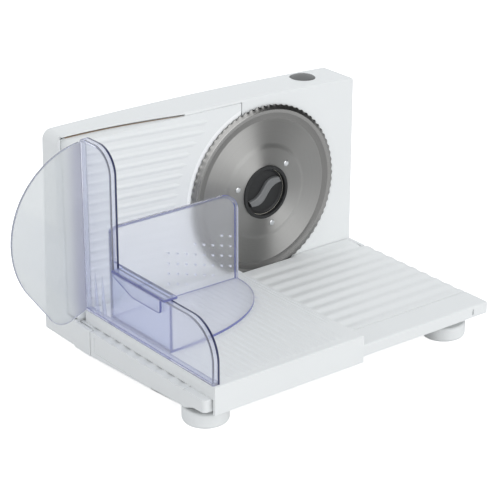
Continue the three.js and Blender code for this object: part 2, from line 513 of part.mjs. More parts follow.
// Face cam with a steady lead: it lets the guide plate back by GUIDE_TRAVEL over three quarters of a turn
function thicknessCam() {
  const turn = 270;
  const lead = GUIDE_TRAVEL / turn;
  const spare = 5;
  const rings = range(28).map((k) => (turn + 3 * spare) * k / 27).map((swept) => {
    const y = FOLLOWER_END + 0.05 + swept * lead;
    return [[CAM_OUT, y], [CAM_IN, y], [CAM_IN, CAM_ROOT], [CAM_OUT, CAM_ROOT]].map(([r, v]) => {
      const [x, z] = polar(...KNOB, r, swept - spare);
      return [x, v, z];
    });
  });
  const ramp = loft(rings, ([x, y, z]) => [Math.hypot(x - KNOB[0], z - KNOB[1]), y]);
  const disc = cylY(CAM_OUT + 0.2, CAM_ROOT - 0.3, CAM_ROOT + 2.5, ...KNOB, 28);
  const spindle = cylY(SPINDLE_R, CAM_ROOT - 0.3, backY(KNOB[1]) + 11, ...KNOB);
  return union(disc, spindle, ramp);
}
const KNOB_FRONT = backY(KNOB[1]) + 1.3;
const KNOB_BACK = KNOB_FRONT + KNOB_T;
function thicknessKnob() {
  const grip = range(16).flatMap((i) => [[0.8, 0], [0, 0.25], [0, 0.6], [0.8, 0.85]].map(
    ([d, f]) => polar(...KNOB, KNOB_R - d, (i + f) * 22.5)));
  const body = prismXZ(grip, KNOB_FRONT, KNOB_BACK - 1.5).add(
    cylY(KNOB_R - 2.4, KNOB_FRONT + LAP, KNOB_BACK, ...KNOB, 32));
  const mark = box(KNOB[0] + KNOB_R - 8.4, KNOB[0] + KNOB_R - 3.4, KNOB_BACK - 0.9, KNOB_BACK + PAST,
    KNOB[1] - 0.9, KNOB[1] + 0.9);
  return cut(body, cylY(SPINDLE_R + RUN, KNOB_FRONT - PAST, backY(KNOB[1]) + 11.2, ...KNOB), mark);
}

// Dished blade with a stepped face, a ground bevel and a wavy cutting edge
const HUB_HOLE = RING_BORE + 1.2;
function bladeDisc() {
  const back = BLADE_FRONT + BLADE_T;
  const flat = FLANGE_R + 4;
  const bevel = BLADE_R - BEVEL_W;
  const hole = HUB_HOLE + SLIDE;
  const profile = [[hole, BLADE_FRONT], [flat, BLADE_FRONT], [flat + 3.5, BLADE_FRONT + 1.8],
    [bevel - 6, -1.3], [bevel - 3.5, -0.5], [bevel - 1, -0.5], [bevel, -0.9], [BLADE_R + 1, 0.55],
    [BLADE_R + 1, 0.95], [bevel, 0.9], [flat + 3.5, BLADE_FRONT + 3.2], [flat, back], [hole, back]];
  const edge = range(2 * TEETH).map(
    (i) => polar(...AXLE, BLADE_R - TOOTH_DEPTH * (i % 2), 180 * i / TEETH));
  const disc = latheY(profile, ...AXLE, 40).intersect(prismXZ(edge, BLADE_FRONT - PAST, PAST));
  return cut(disc, RIVETS.map(([x, z]) => cylY(RIVET_R + RUN, BLADE_FRONT - PAST, PAST, x, z, 8)));
}
function bladeGear() {
  const seat = BLADE_FRONT + BLADE_T;
  const cup = RING_BORE - 0.1;
  const bore = AXLE_R + 2 * RUN;
  const ringIn = pitchR(Z_BLADE) - 8;
  const back = GEAR_Y + GEAR_T;
  const web = latheY([[bore, HUB_Y], [cup, HUB_Y], [cup, seat], [FLANGE_R, seat], [FLANGE_R, 1],
    [ringIn + 3, 1], [ringIn + 3, GEAR_Y], [ringIn + 2, back], [bore, back]], ...AXLE, 24);
  const teeth = gear(Z_BLADE, 0.55, MESH_DEG, GEAR_Y, back, AXLE);
  const ring = cut(teeth, cylY(ringIn, 0, back + PAST, ...AXLE, 24));
  const ringSeat = cylY(HUB_HOLE + RUN, seat - PAST, seat + RING_DEEP, ...AXLE, 32);
  const rivetHoles = RIVETS.map(([x, z]) => cylY(RIVET_R + RUN, seat - PAST, GEAR_Y, x, z, 8));
  return cut(web.add(ring), rivetHoles, ringSeat);
}
function hubRing() {
  const seat = BLADE_FRONT - SEAT;
  const front = BLADE_FRONT - 1.7;
  const end = BLADE_FRONT + BLADE_T + RING_DEEP;
  return latheY([[RING_BORE, front], [RING_R - 0.8, front], [RING_R, front + 0.6], [RING_R, seat],
    [HUB_HOLE, seat], [HUB_HOLE, end], [RING_BORE, end]], ...AXLE, 32);
}
function rivet(x, z) {
  const seat = BLADE_FRONT - SEAT;
  return latheY([[0, seat - 0.9], [RIVET_R, seat - 0.8], [RIVET_R + 0.9, seat - 0.4], [RIVET_R + 0.9, seat],
    [RIVET_R, seat], [RIVET_R, 1.8], [0, 1.8]], x, z, 8);
}
// Lock knob: a shallow cup with an S-shaped bar across it
function lockKnob() {
  const r = RING_BORE - 0.5;
  const half = r - 2.8;
  const spine = range(13).map((i) => i / 6 - 1).map(
    (t) => [half * t, 3.4 * Math.sin(Math.PI * t), 5.2 * (1 - 0.72 * t * t)]);
  const sides = [...spine.map(([u, v, w]) => [u, v + w]), ...spine.map(([u, v, w]) => [u, v - w]).reverse()];
  const [c, s] = polar(0, 0, 1, 30);
  const bar = sides.map(([u, v]) => [u * c - v * s, AXLE_Z + u * s + v * c]);
  const back = HUB_Y - 0.1;
  const cup = latheY([[0, back], [r, back], [r, -0.6], [r - 0.9, -0.6], [r - 2.3, 0.4], [0, 0.4]],
    ...AXLE, 32);
  return cup.add(prismXZ(bar, BLADE_FRONT - 0.4, LAP));
}

function idlerGear() {
  const pinion = gear(Z_PINION, 0.9, PINION_PHASE, GEAR_Y + 0.6, WHEEL_Y + 0.3, IDLER);
  const wheel = gear(Z_WHEEL, 0.55, MESH_DEG, WHEEL_Y, WHEEL_Y + WHEEL_T, IDLER);
  return cut(pinion.add(wheel), cylY(IDLER_R + RUN, 0, GEAR_PLATE_BACK, ...IDLER));
}
function motorShaft() {
  const pinion = gear(Z_PINION, 0.9, PINION_PHASE, WHEEL_Y, WHEEL_Y + WHEEL_T + 0.4, MOTOR);
  const end = GEAR_PLATE_BACK + MOTOR_L + 2.4;
  return union(pinion, cylY(SHAFT_R, WHEEL_Y - 1.2, end, ...MOTOR),
    cylY(5, WHEEL_Y + WHEEL_T - 0.2, GEAR_PLATE_BACK - 0.5, ...MOTOR),
    cylY(MOTOR_R - 6, GEAR_PLATE_BACK + 4, GEAR_PLATE_BACK + MOTOR_L - 4, ...MOTOR, 18));
}
function motorCan() {
  const [y0, y1] = [GEAR_PLATE_BACK, GEAR_PLATE_BACK + MOTOR_L];
  const bore = SHAFT_R + RUN;
  const inner = MOTOR_R - 5;
  const can = latheY([[bore, y0], [MOTOR_R, y0], [MOTOR_R, y1 - 1], [MOTOR_R - 1, y1], [bore, y1],
    [bore, y1 - 2], [inner, y1 - 2], [inner, y0 + 2], [bore, y0 + 2]], ...MOTOR, 18);
  const brushSlots = [-10, 10].map((u) => MOTOR[0] + u).map(
    (x) => box(x - 2, x + 2, y1 - 3, y1 + PAST, MOTOR[1] + 4, MOTOR[1] + 12));
  return cut(can, cylY(5.3, y0 - 2, y0 + 1, ...MOTOR), brushSlots);
}
function gearPlate() {
  const [lowLeft, highLeft, lowRight, highRight] = POSTS;
  const plate = prismXZ([[lowLeft[0] - 7, lowLeft[1] - 7], [lowRight[0] + 6, lowRight[1] - 7],
    [highRight[0] + 6, highRight[1] + 8], [MOTOR[0] - 13, AXLE_Z + 11.5], [highLeft[0] + 6, highLeft[1] + 8],
    [highLeft[0] - 7, highLeft[1] + 8]], GEAR_PLATE_Y, GEAR_PLATE_BACK);
  const reach = [GEAR_PLATE_Y - PAST, GEAR_PLATE_BACK + PAST];
  return cut(plate, cylY(AXLE_R + RUN, ...reach, ...AXLE), cylY(IDLER_R + RUN, ...reach, ...IDLER),
    cylY(9.5, ...reach, ...MOTOR), POSTS.map(([x, z]) => cylY(PILOT_R + 0.45, ...reach, x, z, 6)));
}

const BUTTON_TOP = topZ(BUTTON[0]);
function pushButton() {
  const dome = arc(0, BUTTON_TOP - 24.3, 27.3, 65, 90, 4).reverse();
  const flange = BUTTON_R + 1.1;
  const [step, low, end] = [4, 6.5, 11.7].map((d) => BUTTON_TOP - d);
  return latheZ([...dome, [BUTTON_R, BUTTON_TOP - 0.6], [BUTTON_R, step], [flange, step], [flange, low],
    [4, low], [4, end], [0, end]], ...BUTTON, 20);
}
function switchBody() {
  const [x, y] = BUTTON;
  const shell = box(x - 14.4, x + 14.4, y - 8, y + 8, BUTTON_TOP - 34, BUTTON_TOP - 19);
  return shell.add(cylZ(2.5, BUTTON_TOP - 20, BUTTON_TOP - 16.2, x, y, 16));
}
function screw(x, z, seat, length, head) {
  const shank = PILOT_R - 0.1;
  return latheY([[0, seat - length], [shank, seat - length], [shank, seat], [head, seat], [head, seat + 1.6],
    [0, seat + 1.6]], x, z, 6);
}
function cordGland() {
  const back = backY(GLAND[1]);
  const profile = [[0, -8], [5, -8], [5, 0.4], [8, 0.4], [7, 5], [5, 9], [0, 9]];
  return latheY(profile.map(([r, y]) => [r, y + back]), ...GLAND, 20);
}
function foot(x, y, r, h) {
  return latheZ([[0, 0], [r - 1.6, 0], [r, 2], [r, h - 1.5], [r - 1.5, h], [0, h]], x, y, r > 15 ? 24 : 14);
}

// Materials
function paint(name, color, roughness, metalness, opacity = 1) {
  const transparent = opacity < 1;
  return new THREE.MeshStandardMaterial({ name, color, roughness, metalness, opacity, transparent });
}
const WHITE = paint("white_abs", 0xf1f2f0, 0.45, 0);
const CLEAR = paint("clear_styrene", 0xb9c4e6, 0.08, 0, 0.35);
const STEEL = paint("blade_steel", 0xb4b2ae, 0.3, 1);
const GREY = paint("dark_grey_plastic", 0x55575a, 0.5, 0);
const BUTTON_GREY = paint("button_grey", 0x7c7e80, 0.5, 0);
const ZINC = paint("zinc_steel", 0xc3c5c8, 0.35, 1);
const ACETAL = paint("natural_acetal", 0xe8e4d6, 0.5, 0);
const RUBBER = paint("pale_rubber", 0xdedfdc, 0.8, 0);

// Assembly, with the origin under the middle of the footprint
const ORIGIN = [(HOUSING_RIGHT + SHIELD[0] - SHIELD_R) / 2, (CAR_FRONT + KNOB_BACK) / 2];
const part = new THREE.Group();
part.name = "electric_food_slicer";
function add(name, body, material) {
  const mesh = body.getMesh();
  const geometry = new THREE.BufferGeometry();
  geometry.setAttribute("position", new THREE.BufferAttribute(Float32Array.from(mesh.vertProperties), 3));
  geometry.setIndex(new THREE.BufferAttribute(Uint32Array.from(mesh.triVerts), 1));
  geometry.translate(-ORIGIN[0], -ORIGIN[1], 0);
  geometry.computeVertexNormals();
  const node = new THREE.Mesh(geometry, material);
  node.name = name;
  part.add(node);
}

add("front_housing", frontHousing(), WHITE);
add("rear_cover", rearCover(), WHITE);
add("base_tray", baseTray(), WHITE);
add("hinge_pin_left", cylX(HINGE_R, HOUSING_LEFT + 0.3, HOUSING_LEFT + 9.5, ...HINGE), ZINC);
add("hinge_pin_right", cylX(HINGE_R, HOUSING_RIGHT - 9.5, HOUSING_RIGHT - 0.3, ...HINGE), ZINC);
for (const [name, x, y, r, h] of FEET) add("foot_" + name, foot(x, y, r, h), RUBBER);
add("carriage_table", carriageTable(), WHITE);
add("side_guard", sideGuard(), CLEAR);
add("food_pusher", foodPusher(), CLEAR);
add("guide_plate", guidePlate(), WHITE);
const rodFront = PLATE_Y + PLATE_T + 1 + GUIDE_TRAVEL;
["lower", "upper"].forEach((name, i) => add("guide_rod_" + name,
  cylY(ROD_R, rodFront, backY(ROD_Z[i]) - 1, ROD_X, ROD_Z[i]), ZINC));
add("thickness_cam", thicknessCam(), ACETAL);
add("thickness_knob", thicknessKnob(), GREY);
add("blade", bladeDisc(), STEEL);
add("hub_ring", hubRing(), GREY);
add("blade_gear", bladeGear(), ACETAL);
RIVETS.forEach(([x, z], i) => add("blade_rivet_" + (i + 1), rivet(x, z), ZINC));
add("blade_lock_knob", lockKnob(), GREY);
add("blade_axle", cylY(AXLE_R, HUB_Y + 0.1, GEAR_PLATE_BACK, ...AXLE), ZINC);
add("idler_gear", idlerGear(), ACETAL);
add("idler_axle", cylY(IDLER_R, FRONT_Y + 1, GEAR_PLATE_BACK, ...IDLER), ZINC);
add("gear_plate", gearPlate(), ZINC);
POSTS.forEach(([x, z], i) => add("plate_screw_" + (i + 1), screw(x, z, GEAR_PLATE_BACK + SEAT, 9, 3), ZINC));
add("motor_can", motorCan(), ZINC);
add("motor_shaft", motorShaft(), STEEL);
add("switch_body", switchBody(), GREY);
add("push_button", pushButton(), BUTTON_GREY);
add("cord_gland", cordGland(), GREY);
COVER_SCREWS.forEach(([x, z], i) => add("cover_screw_" + (i + 1),
  screw(x, z, backY(z) - 1.78, 6, 3.2), ZINC));

export default part;
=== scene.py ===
# %% [markdown]
# An electric food slicer, dressed for a portrait.
# The measured solids come in as a fixed frame, and each piece made here takes the place of one of them.
# The moving pieces ride on the same bodies as the solids, so the carriage slides and the blade turns.

# %% Frame and units
import json
from math import radians
import bpy
import bmesh
import numpy as np
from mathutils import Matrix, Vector


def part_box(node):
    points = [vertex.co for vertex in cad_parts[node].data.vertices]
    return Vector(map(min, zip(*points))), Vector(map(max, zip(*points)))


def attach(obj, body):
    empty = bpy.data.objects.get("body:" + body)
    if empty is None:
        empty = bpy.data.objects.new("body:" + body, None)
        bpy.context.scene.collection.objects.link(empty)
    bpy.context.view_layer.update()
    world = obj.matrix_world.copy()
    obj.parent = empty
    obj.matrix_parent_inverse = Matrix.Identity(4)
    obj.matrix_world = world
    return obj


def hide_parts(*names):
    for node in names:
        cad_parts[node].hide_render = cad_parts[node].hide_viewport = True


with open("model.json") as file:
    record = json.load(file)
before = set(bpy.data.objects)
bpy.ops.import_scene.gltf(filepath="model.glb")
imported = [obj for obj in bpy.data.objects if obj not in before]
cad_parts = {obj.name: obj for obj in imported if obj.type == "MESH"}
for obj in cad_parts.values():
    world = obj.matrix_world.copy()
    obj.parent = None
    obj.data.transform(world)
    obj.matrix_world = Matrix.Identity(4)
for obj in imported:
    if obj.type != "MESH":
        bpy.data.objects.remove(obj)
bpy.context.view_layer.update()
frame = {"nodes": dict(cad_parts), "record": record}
low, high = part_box("blade")
SHIFT = np.array([(low[0] + high[0]) * 500, low[1] * 1000 + 2.6, 0])

# %% [markdown]
# The drawing sizes are in millimetres, with the blade axis at X = 0 and the cutting edge at Y = 0.
# Heights hang together: the tray carries the blade height, and the blade carries the crown of the housing.
# Keeping these few numbers in one place lets every surface below agree with its neighbours.

# %% Sizes
WALL, LEFT, RIGHT, FOOT = 2.5, -214.0, 112.0, 6.0
FRONT = 2.5
BLADE_R, TEETH = 85.0, 76
TRAY_TOP, TRAY_FRONT = 32.0, -192.0
AXLE = np.array([0.0, TRAY_TOP + BLADE_R - 8.5])
CROWN_Z, CROWN_X = AXLE[1] + BLADE_R + 11.1, LEFT + 94
ABOVE = CROWN_Z + 24
CAR_L, CAR_R, CAR_TOP, CAR_FRONT = LEFT + 8.5, -43.0, TRAY_TOP + 12.5, TRAY_FRONT - 5
GUARD_X, GUARD_BACK = CAR_L - 0.5, -2.8
GUARD_TOP, GUARD_LOW = CROWN_Z + 3.4, CAR_TOP + 53
PARTING_RIGHT = -BLADE_R - 4
PLATE_LEFT, PLATE_BOTTOM, PLATE_ARC, PLATE_END = LEFT + WALL + 0.4, TRAY_TOP + 2.5, BLADE_R - 1.5, -26.0
BUTTON = (RIGHT - 43, 28.5)
KNOB = (LEFT + 64, AXLE[1] + 9.5)
SCREWS = [(RIGHT - 9, CROWN_Z - 20.6), (RIGHT - 9, FOOT + 12), (-10, CROWN_Z - 11.6), (-38, FOOT + 12),
          (LEFT + 9, CROWN_Z - 54.6), (LEFT + 9, FOOT + 12)]


def top_z(x):
    """Height of the arched top: the crown less a fall that grows with the square of the distance from it."""
    return CROWN_Z - 5.9 * ((x - CROWN_X) / (RIGHT - CROWN_X)) ** 2


def back_y(z):
    """Depth of the back, which leans out in a straight line from the crown to the foot."""
    return 54 - 9 * (z - FOOT) / (CROWN_Z - FOOT)


print("axle height", AXLE[1], "crown", CROWN_Z)

# %% [markdown]
# Most pieces are an outline carried through a few levels, or a profile turned about an axis.
# Both are grids of points, so a whole surface is worked out as one array and handed to the mesh at once.
# A corner is rounded before it is carried, because a moulded or pressed edge always catches a thin light.

# %% Outline helpers
def arc(cx, cy, r, a0, a1, n):
    """Points on a circle of radius r from angle a0 to a1, in degrees."""
    a = np.radians(np.linspace(a0, a1, n + 1))
    return np.column_stack([cx + r * np.cos(a), cy + r * np.sin(a)])


def chain(*parts):
    """Outlines and single points joined end to end."""
    return np.vstack([np.atleast_2d(np.asarray(p, float)) for p in parts])


def corners(x0, x1, y0, y1):
    """The four corners of a rectangle."""
    return [[x0, y0], [x1, y0], [x1, y1], [x0, y1]]


def quarter(r, n=4):
    """How far a quarter-round of radius r is drawn in, and how deep it lies, at n places."""
    a = np.radians(np.linspace(0, 90, n))
    return r * (1 - np.sin(a)), r * (1 - np.cos(a))


def fillet(points, r, n=4, closed=True):
    """Each corner becomes a parabola that leaves its two edges at distance r from the corner."""
    p = np.asarray(points, float)
    back, on = np.roll(p, 1, 0) - p, np.roll(p, -1, 0) - p
    reach = [np.minimum(r, 0.45 * np.linalg.norm(d, axis=1))[:, None] for d in (back, on)]
    unit = [d / np.maximum(np.linalg.norm(d, axis=1), 1e-9)[:, None] for d in (back, on)]
    a, b = p + unit[0] * reach[0], p + unit[1] * reach[1]
    s = np.linspace(0, 1, n + 1)[None, :, None]
    curve = (1 - s) ** 2 * a[:, None] + 2 * s * (1 - s) * p[:, None] + s ** 2 * b[:, None]
    if closed:
        return curve.reshape(-1, 2)
    return chain(p[0], curve[1:-1].reshape(-1, 2), p[-1])


def inset(outline, d):
    """Every edge moves in by d: each point goes along the mean of its edge normals, further at corners."""
    p = np.asarray(outline, float)
    x, y = p.T
    turn = np.sign(np.sum(x * np.roll(y, -1) - np.roll(x, -1) * y))
    edge = np.roll(p, -1, 0) - p
    edge /= np.linalg.norm(edge, axis=1)[:, None]
    normal = turn * np.column_stack([-edge[:, 1], edge[:, 0]])
    mean = normal + np.roll(normal, 1, 0)
    mean /= np.sum(mean * normal, axis=1)[:, None]
    return p + d * mean


def lift(outline, axis, height):
    """A flat outline set into space at a height along the axis that it faces."""
    u, v = np.asarray(outline, float).T
    h = np.broadcast_to(height, u.shape)
    order = {"x": (h, u, v), "y": (u, h, v), "z": (u, v, h)}
    return np.column_stack(order[axis])


print("outline helpers ready")

# %% [markdown]
# Bodies are joined, cut and rounded one step at a time, and each step becomes the mesh at once.
# Every finished piece is then put on a body of the frame, in the place of the solid that it replaces.

# %% Mesh helpers
def place(name, data):
    """A mesh, a lamp or a camera set into the scene."""
    obj = bpy.data.objects.new(name, data)
    bpy.context.scene.collection.objects.link(obj)
    return obj


def form(name, points, faces):
    """One mesh object from points in drawing millimetres, with doubles merged and faces turned outwards."""
    mesh = bpy.data.meshes.new(name)
    mesh.from_pydata(((np.reshape(points, (-1, 3)) + SHIFT) / 1000).tolist(), [], faces)
    bm = bmesh.new()
    bm.from_mesh(mesh)
    bmesh.ops.remove_doubles(bm, verts=bm.verts, dist=1e-6)
    bmesh.ops.recalc_face_normals(bm, faces=bm.faces)
    bm.to_mesh(mesh)
    bm.free()
    return place(name, mesh)


def skin(name, rings, loop=False):
    """Four-sided faces between each ring and the next; the end rings are closed, or joined to each other."""
    rings = np.asarray(rings, float)
    k = np.arange(rings.shape[0] * rings.shape[1]).reshape(rings.shape[:2])
    a, b = (k, np.roll(k, -1, 0)) if loop else (k[:-1], k[1:])
    quads = np.stack([a, np.roll(a, -1, 1), np.roll(b, -1, 1), b], -1).reshape(-1, 4).tolist()
    ends = [] if loop else [k[0][::-1].tolist(), k[-1].tolist()]
    return form(name, rings, quads + ends)


def slab(name, outline, axis, lo, hi, edge=0.0):
    """An outline carried from lo to hi, with a quarter-round of radius edge at both ends."""
    if not edge:
        return skin(name, [lift(outline, axis, h) for h in (lo, hi)])
    levels = list(zip(*quarter(edge)))
    rings = [lift(inset(outline, d), axis, lo + h) for d, h in levels]
    return skin(name, rings + [lift(inset(outline, d), axis, hi - h) for d, h in levels[::-1]])


def turned(name, profile, centre, axis="y", n=96, loop=False, shape=None):
    """A profile of radius and height turned about an axis; shape may change both with the angle."""
    r, h = np.asarray(profile, float).T
    a = np.linspace(0, 2 * np.pi, n, endpoint=False)
    r, h, a = r[:, None] + 0 * a, h[:, None] + 0 * a, a + 0 * r[:, None]
    if shape:
        r, h = shape(r, h, a)
    u, v = centre[0] + r * np.cos(a), centre[1] + r * np.sin(a)
    rings = np.stack((u, h, v) if axis == "y" else (u, v, h), -1)
    return skin(name, rings, loop)


def brick(name, x0, x1, y0, y1, z0, z1, edge=0.0):
    """A block with rounded long edges, an outline in X and Z carried along Y."""
    outline = corners(x0, x1, z0, z1)
    return slab(name, fillet(outline, 1.6 * edge, 3) if edge else outline, "y", y0, y1, edge)


def settle(obj):
    """The object's modifiers become its mesh."""
    mesh = bpy.data.meshes.new_from_object(obj.evaluated_get(bpy.context.evaluated_depsgraph_get()))
    obj.modifiers.clear()
    obj.data = mesh
    return obj


def combine(obj, others, operation):
    """Joins, cuts or intersects the object with each of the others in turn, and removes them."""
    for other in others:
        step = obj.modifiers.new(operation, "BOOLEAN")
        step.operation, step.solver, step.object = operation, "EXACT", other
        settle(obj)
        bpy.data.objects.remove(other)
    return obj


def weld(obj, *others):
    """One body from several that overlap."""
    return combine(obj, others, "UNION")


def carve(obj, *others):
    """The object less the others."""
    return combine(obj, others, "DIFFERENCE")


def gather(name, parts):
    """Separate bodies put into one mesh, as they are."""
    bm = bmesh.new()
    for part in parts:
        bm.from_mesh(part.data)
        bpy.data.objects.remove(part)
    mesh = bpy.data.meshes.new(name)
    bm.to_mesh(mesh)
    bm.free()
    return place(name, mesh)


def soften(obj, width, slivers=False):
    """Rounds every edge sharper than 40 degrees by a bevel of that width; thin slivers may go first."""
    if slivers:
        bm = bmesh.new()
        bm.from_mesh(obj.data)
        bmesh.ops.remove_doubles(bm, verts=bm.verts, dist=6e-5)
        bmesh.ops.dissolve_limit(bm, angle_limit=radians(0.1), verts=bm.verts, edges=bm.edges)
        bm.to_mesh(obj.data)
        bm.free()
    bevel = obj.modifiers.new("edge", "BEVEL")
    bevel.width, bevel.segments, bevel.use_clamp_overlap = width / 1000, 2, not slivers
    bevel.limit_method, bevel.angle_limit = "ANGLE", radians(40)
    bevel.miter_outer = "MITER_ARC"
    return settle(obj)


def dress(obj, finish, body, slot, *nodes):
    """Smooth shading with flat faces kept flat, a finish, and a place on a body of the frame."""
    obj.data.shade_smooth()
    obj.data.set_sharp_from_angle(angle=radians(32))
    normals = obj.modifiers.new("normals", "WEIGHTED_NORMAL")
    normals.keep_sharp = True
    settle(obj)
    obj.data.materials.clear()
    obj.data.materials.append(finish)
    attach(obj, body)
    if nodes:
        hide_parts(*nodes)
    print(obj.name, len(obj.data.polygons), "faces on", body)


def closed_grid(name, top, bottom):
    """Two grids of the same size, one over the other, joined round their border."""
    m, n = top.shape[:2]
    k = np.arange(m * n).reshape(m, n)
    quads = np.stack([k[:-1, :-1], k[1:, :-1], k[1:, 1:], k[:-1, 1:]], -1).reshape(-1, 4)
    border = np.concatenate([k[0, :-1], k[:-1, -1], k[-1, :0:-1], k[:0:-1, 0]])
    on = np.roll(border, -1)
    sides = np.stack([border, on, on + m * n, border + m * n], -1)
    faces = np.concatenate([quads, quads[:, ::-1] + m * n, sides])
    return form(name, np.concatenate([top.reshape(-1, 3), bottom.reshape(-1, 3)]), faces.tolist())


def faces_of(obj):
    """Each face's middle in drawing millimetres, its normal, and its width: area over half its outline."""
    mesh = obj.data
    count = len(mesh.polygons)
    point, corner = np.empty(len(mesh.vertices) * 3), np.empty(len(mesh.loops), int)
    middle, normal, area = np.empty(count * 3), np.empty(count * 3), np.empty(count)
    first, sides = np.empty(count, int), np.empty(count, int)
    mesh.vertices.foreach_get("co", point)
    mesh.loops.foreach_get("vertex_index", corner)
    wanted = {"center": middle, "normal": normal, "area": area, "loop_start": first, "loop_total": sides}
    for key, values in wanted.items():
        mesh.polygons.foreach_get(key, values)
    on = np.arange(len(corner)) + 1
    on[first + sides - 1] = first
    point = point.reshape(-1, 3)
    outline = np.add.reduceat(np.linalg.norm(point[corner[on]] - point[corner], axis=1), first)
    return (middle.reshape(-1, 3) * 1000 - SHIFT).T, normal.reshape(-1, 3).T, 2000 * area / outline


def refinish(obj, chosen, finish):
    """Another finish on the chosen faces of a piece."""
    index = np.empty(len(obj.data.polygons), int)
    obj.data.polygons.foreach_get("material_index", index)
    index[chosen] = len(obj.data.materials)
    obj.data.materials.append(finish)
    obj.data.polygons.foreach_set("material_index", index)
    print(obj.name, int(chosen.sum()), "faces in", finish.name)


print("mesh helpers ready")

# %% [markdown]
# Moulded plastic is never one flat colour: the mould's fine spark grain scatters the light a little.
# One group makes that grain, with its own scale and depth in each finish, and puts out a colour and a height.
# A second group gives turned metal its concentric lines, measured from the blade axis.
# A third paints shade onto clear plastic, darker towards a joint.

# %% Shader groups
def group(name, outputs, **inputs):
    """An empty group with the kinds of its outputs and the first values of its inputs."""
    tree = bpy.data.node_groups.new(name, "ShaderNodeTree")
    for label, value in inputs.items():
        kind = {4: "Color", 3: "Vector", 1: "Float"}[np.size(value)]
        socket = tree.interface.new_socket(label, in_out="INPUT", socket_type="NodeSocket" + kind)
        socket.default_value = value
    for label, kind in outputs.items():
        tree.interface.new_socket(label, in_out="OUTPUT", socket_type="NodeSocket" + kind)
    return tree, tree.nodes.new("NodeGroupInput").outputs, tree.nodes.new("NodeGroupOutput").inputs


def add(tree, kind, feeds=None, **values):
    """A node with values on its properties or sockets; a feed is another node's output or a plain value."""
    node = tree.nodes.new("ShaderNode" + kind)
    for key, value in values.items():
        if hasattr(node, key):
            setattr(node, key, value)
        else:
            node.inputs[key.replace("_", " ")].default_value = value
    for key, source in (feeds or {}).items():
        if isinstance(source, bpy.types.NodeSocket):
            tree.links.new(source, node.inputs[key])
        else:
            node.inputs[key].default_value = source
    return node.outputs


def calc(tree, operation, *feeds):
    """The outcome of one sum on plain numbers."""
    return add(tree, "Math", dict(enumerate(feeds)), operation=operation)[0]


def smooth(tree, value, low, high):
    """A value eased from 0 at low to 1 at high."""
    return add(tree, "MapRange", {0: value, 1: low, 2: high}, interpolation_type="SMOOTHSTEP")[0]


def around_one(tree, value, amount):
    """A noise value moved to swing round 1, by an amount to either side."""
    swing = calc(tree, "MULTIPLY", calc(tree, "SUBTRACT", value, 0.5), amount)
    return calc(tree, "ADD", swing, 1.0)


def arm_from(tree, centre):
    """The way from the blade axis to each point, square to the axis."""
    arm = add(tree, "VectorMath", {0: add(tree, "TexCoord")["Object"], 1: centre}, operation="SUBTRACT")[0]
    return add(tree, "VectorMath", {0: arm, 1: (1, 0, 1)}, operation="MULTIPLY")[0]


GRAIN, given, out = group("moulded_grain", {"Colour": "Color", "Height": "Float"},
                          Colour=(0.8, 0.8, 0.8, 1), Scale=900.0, Clouding=0.03)
spot = add(GRAIN, "TexCoord")["Object"]
fine = add(GRAIN, "TexNoise", {"Vector": spot, "Scale": given["Scale"]}, Detail=3.0)["Fac"]
broad = add(GRAIN, "TexNoise", {"Vector": spot}, Scale=14.0, Detail=2.0)["Fac"]
level = around_one(GRAIN, broad, given["Clouding"])
shade = add(GRAIN, "VectorMath", {0: given["Colour"], "Scale": level}, operation="SCALE")[0]
GRAIN.links.new(shade, out["Colour"])
GRAIN.links.new(fine, out["Height"])

TURNED, given, out = group("turned_lines", {"Tone": "Float", "Height": "Float"},
                           Centre=(0, 0, 0), Pitch=2600.0, Contrast=0.2)
radius = add(TURNED, "VectorMath", {0: arm_from(TURNED, given["Centre"])}, operation="LENGTH")["Value"]
along = calc(TURNED, "MULTIPLY", radius, given["Pitch"])
lines = add(TURNED, "TexNoise", {"W": along}, noise_dimensions="1D", Scale=1.0, Detail=4.0)["Fac"]
TURNED.links.new(around_one(TURNED, lines, given["Contrast"]), out["Tone"])
TURNED.links.new(lines, out["Height"])

PAINTED_JOIN_SHADE, given, out = group("painted_join_shade", {"Colour": "Color"},
                          Open=(0.8, 0.8, 0.8, 1), Joined=(0.6, 0.6, 0.6, 1), Start=0.0, End=0.1)
across = add(PAINTED_JOIN_SHADE, "SeparateXYZ", {0: add(PAINTED_JOIN_SHADE, "TexCoord")["Object"]})["X"]
share = smooth(PAINTED_JOIN_SHADE, across, given["Start"], given["End"])
blend = add(PAINTED_JOIN_SHADE, "Mix", {0: share, 6: given["Open"], 7: given["Joined"]}, data_type="RGBA")[2]
PAINTED_JOIN_SHADE.links.new(blend, out["Colour"])
print("groups", [g.name for g in bpy.data.node_groups])

# %% [markdown]
# The white and grey plastics, the rubber and the zinc all use the grain group with their own values.
# Plain numbers stay on the shader's own sockets, so that an export can read them.

# %% Grained finishes
def start(name):
    """A new material, its tree and its shader."""
    material = bpy.data.materials.new(name)
    material.use_nodes = True
    return material, material.node_tree, material.node_tree.nodes["Principled BSDF"].inputs


def put(sockets, **values):
    """Plain values on a node's own sockets."""
    for key, value in values.items():
        sockets[key.replace("_", " ")].default_value = value


def use(tree, made, **values):
    """A group set into a material, with plain values on its inputs."""
    node = tree.nodes.new("ShaderNodeGroup")
    node.node_tree = made
    put(node.inputs, **values)
    return node.outputs


def grained(name, colour, rough, scale, depth, clouding=0.03, metal=0.0, **more):
    """A plastic, rubber or zinc finish, or painted light and shade, with its colour and height from the grain
    group.
    """
    material, tree, shader = start(name)
    grain = use(tree, GRAIN, Colour=(*colour, 1), Scale=scale, Clouding=clouding)
    bump = add(tree, "Bump", {"Height": grain["Height"]}, Strength=depth, Distance=0.0003)
    tree.links.new(grain["Colour"], shader["Base Color"])
    tree.links.new(bump["Normal"], shader["Normal"])
    put(shader, Roughness=rough, Metallic=metal, **more)
    material.diffuse_color = (*colour, 1)
    return material


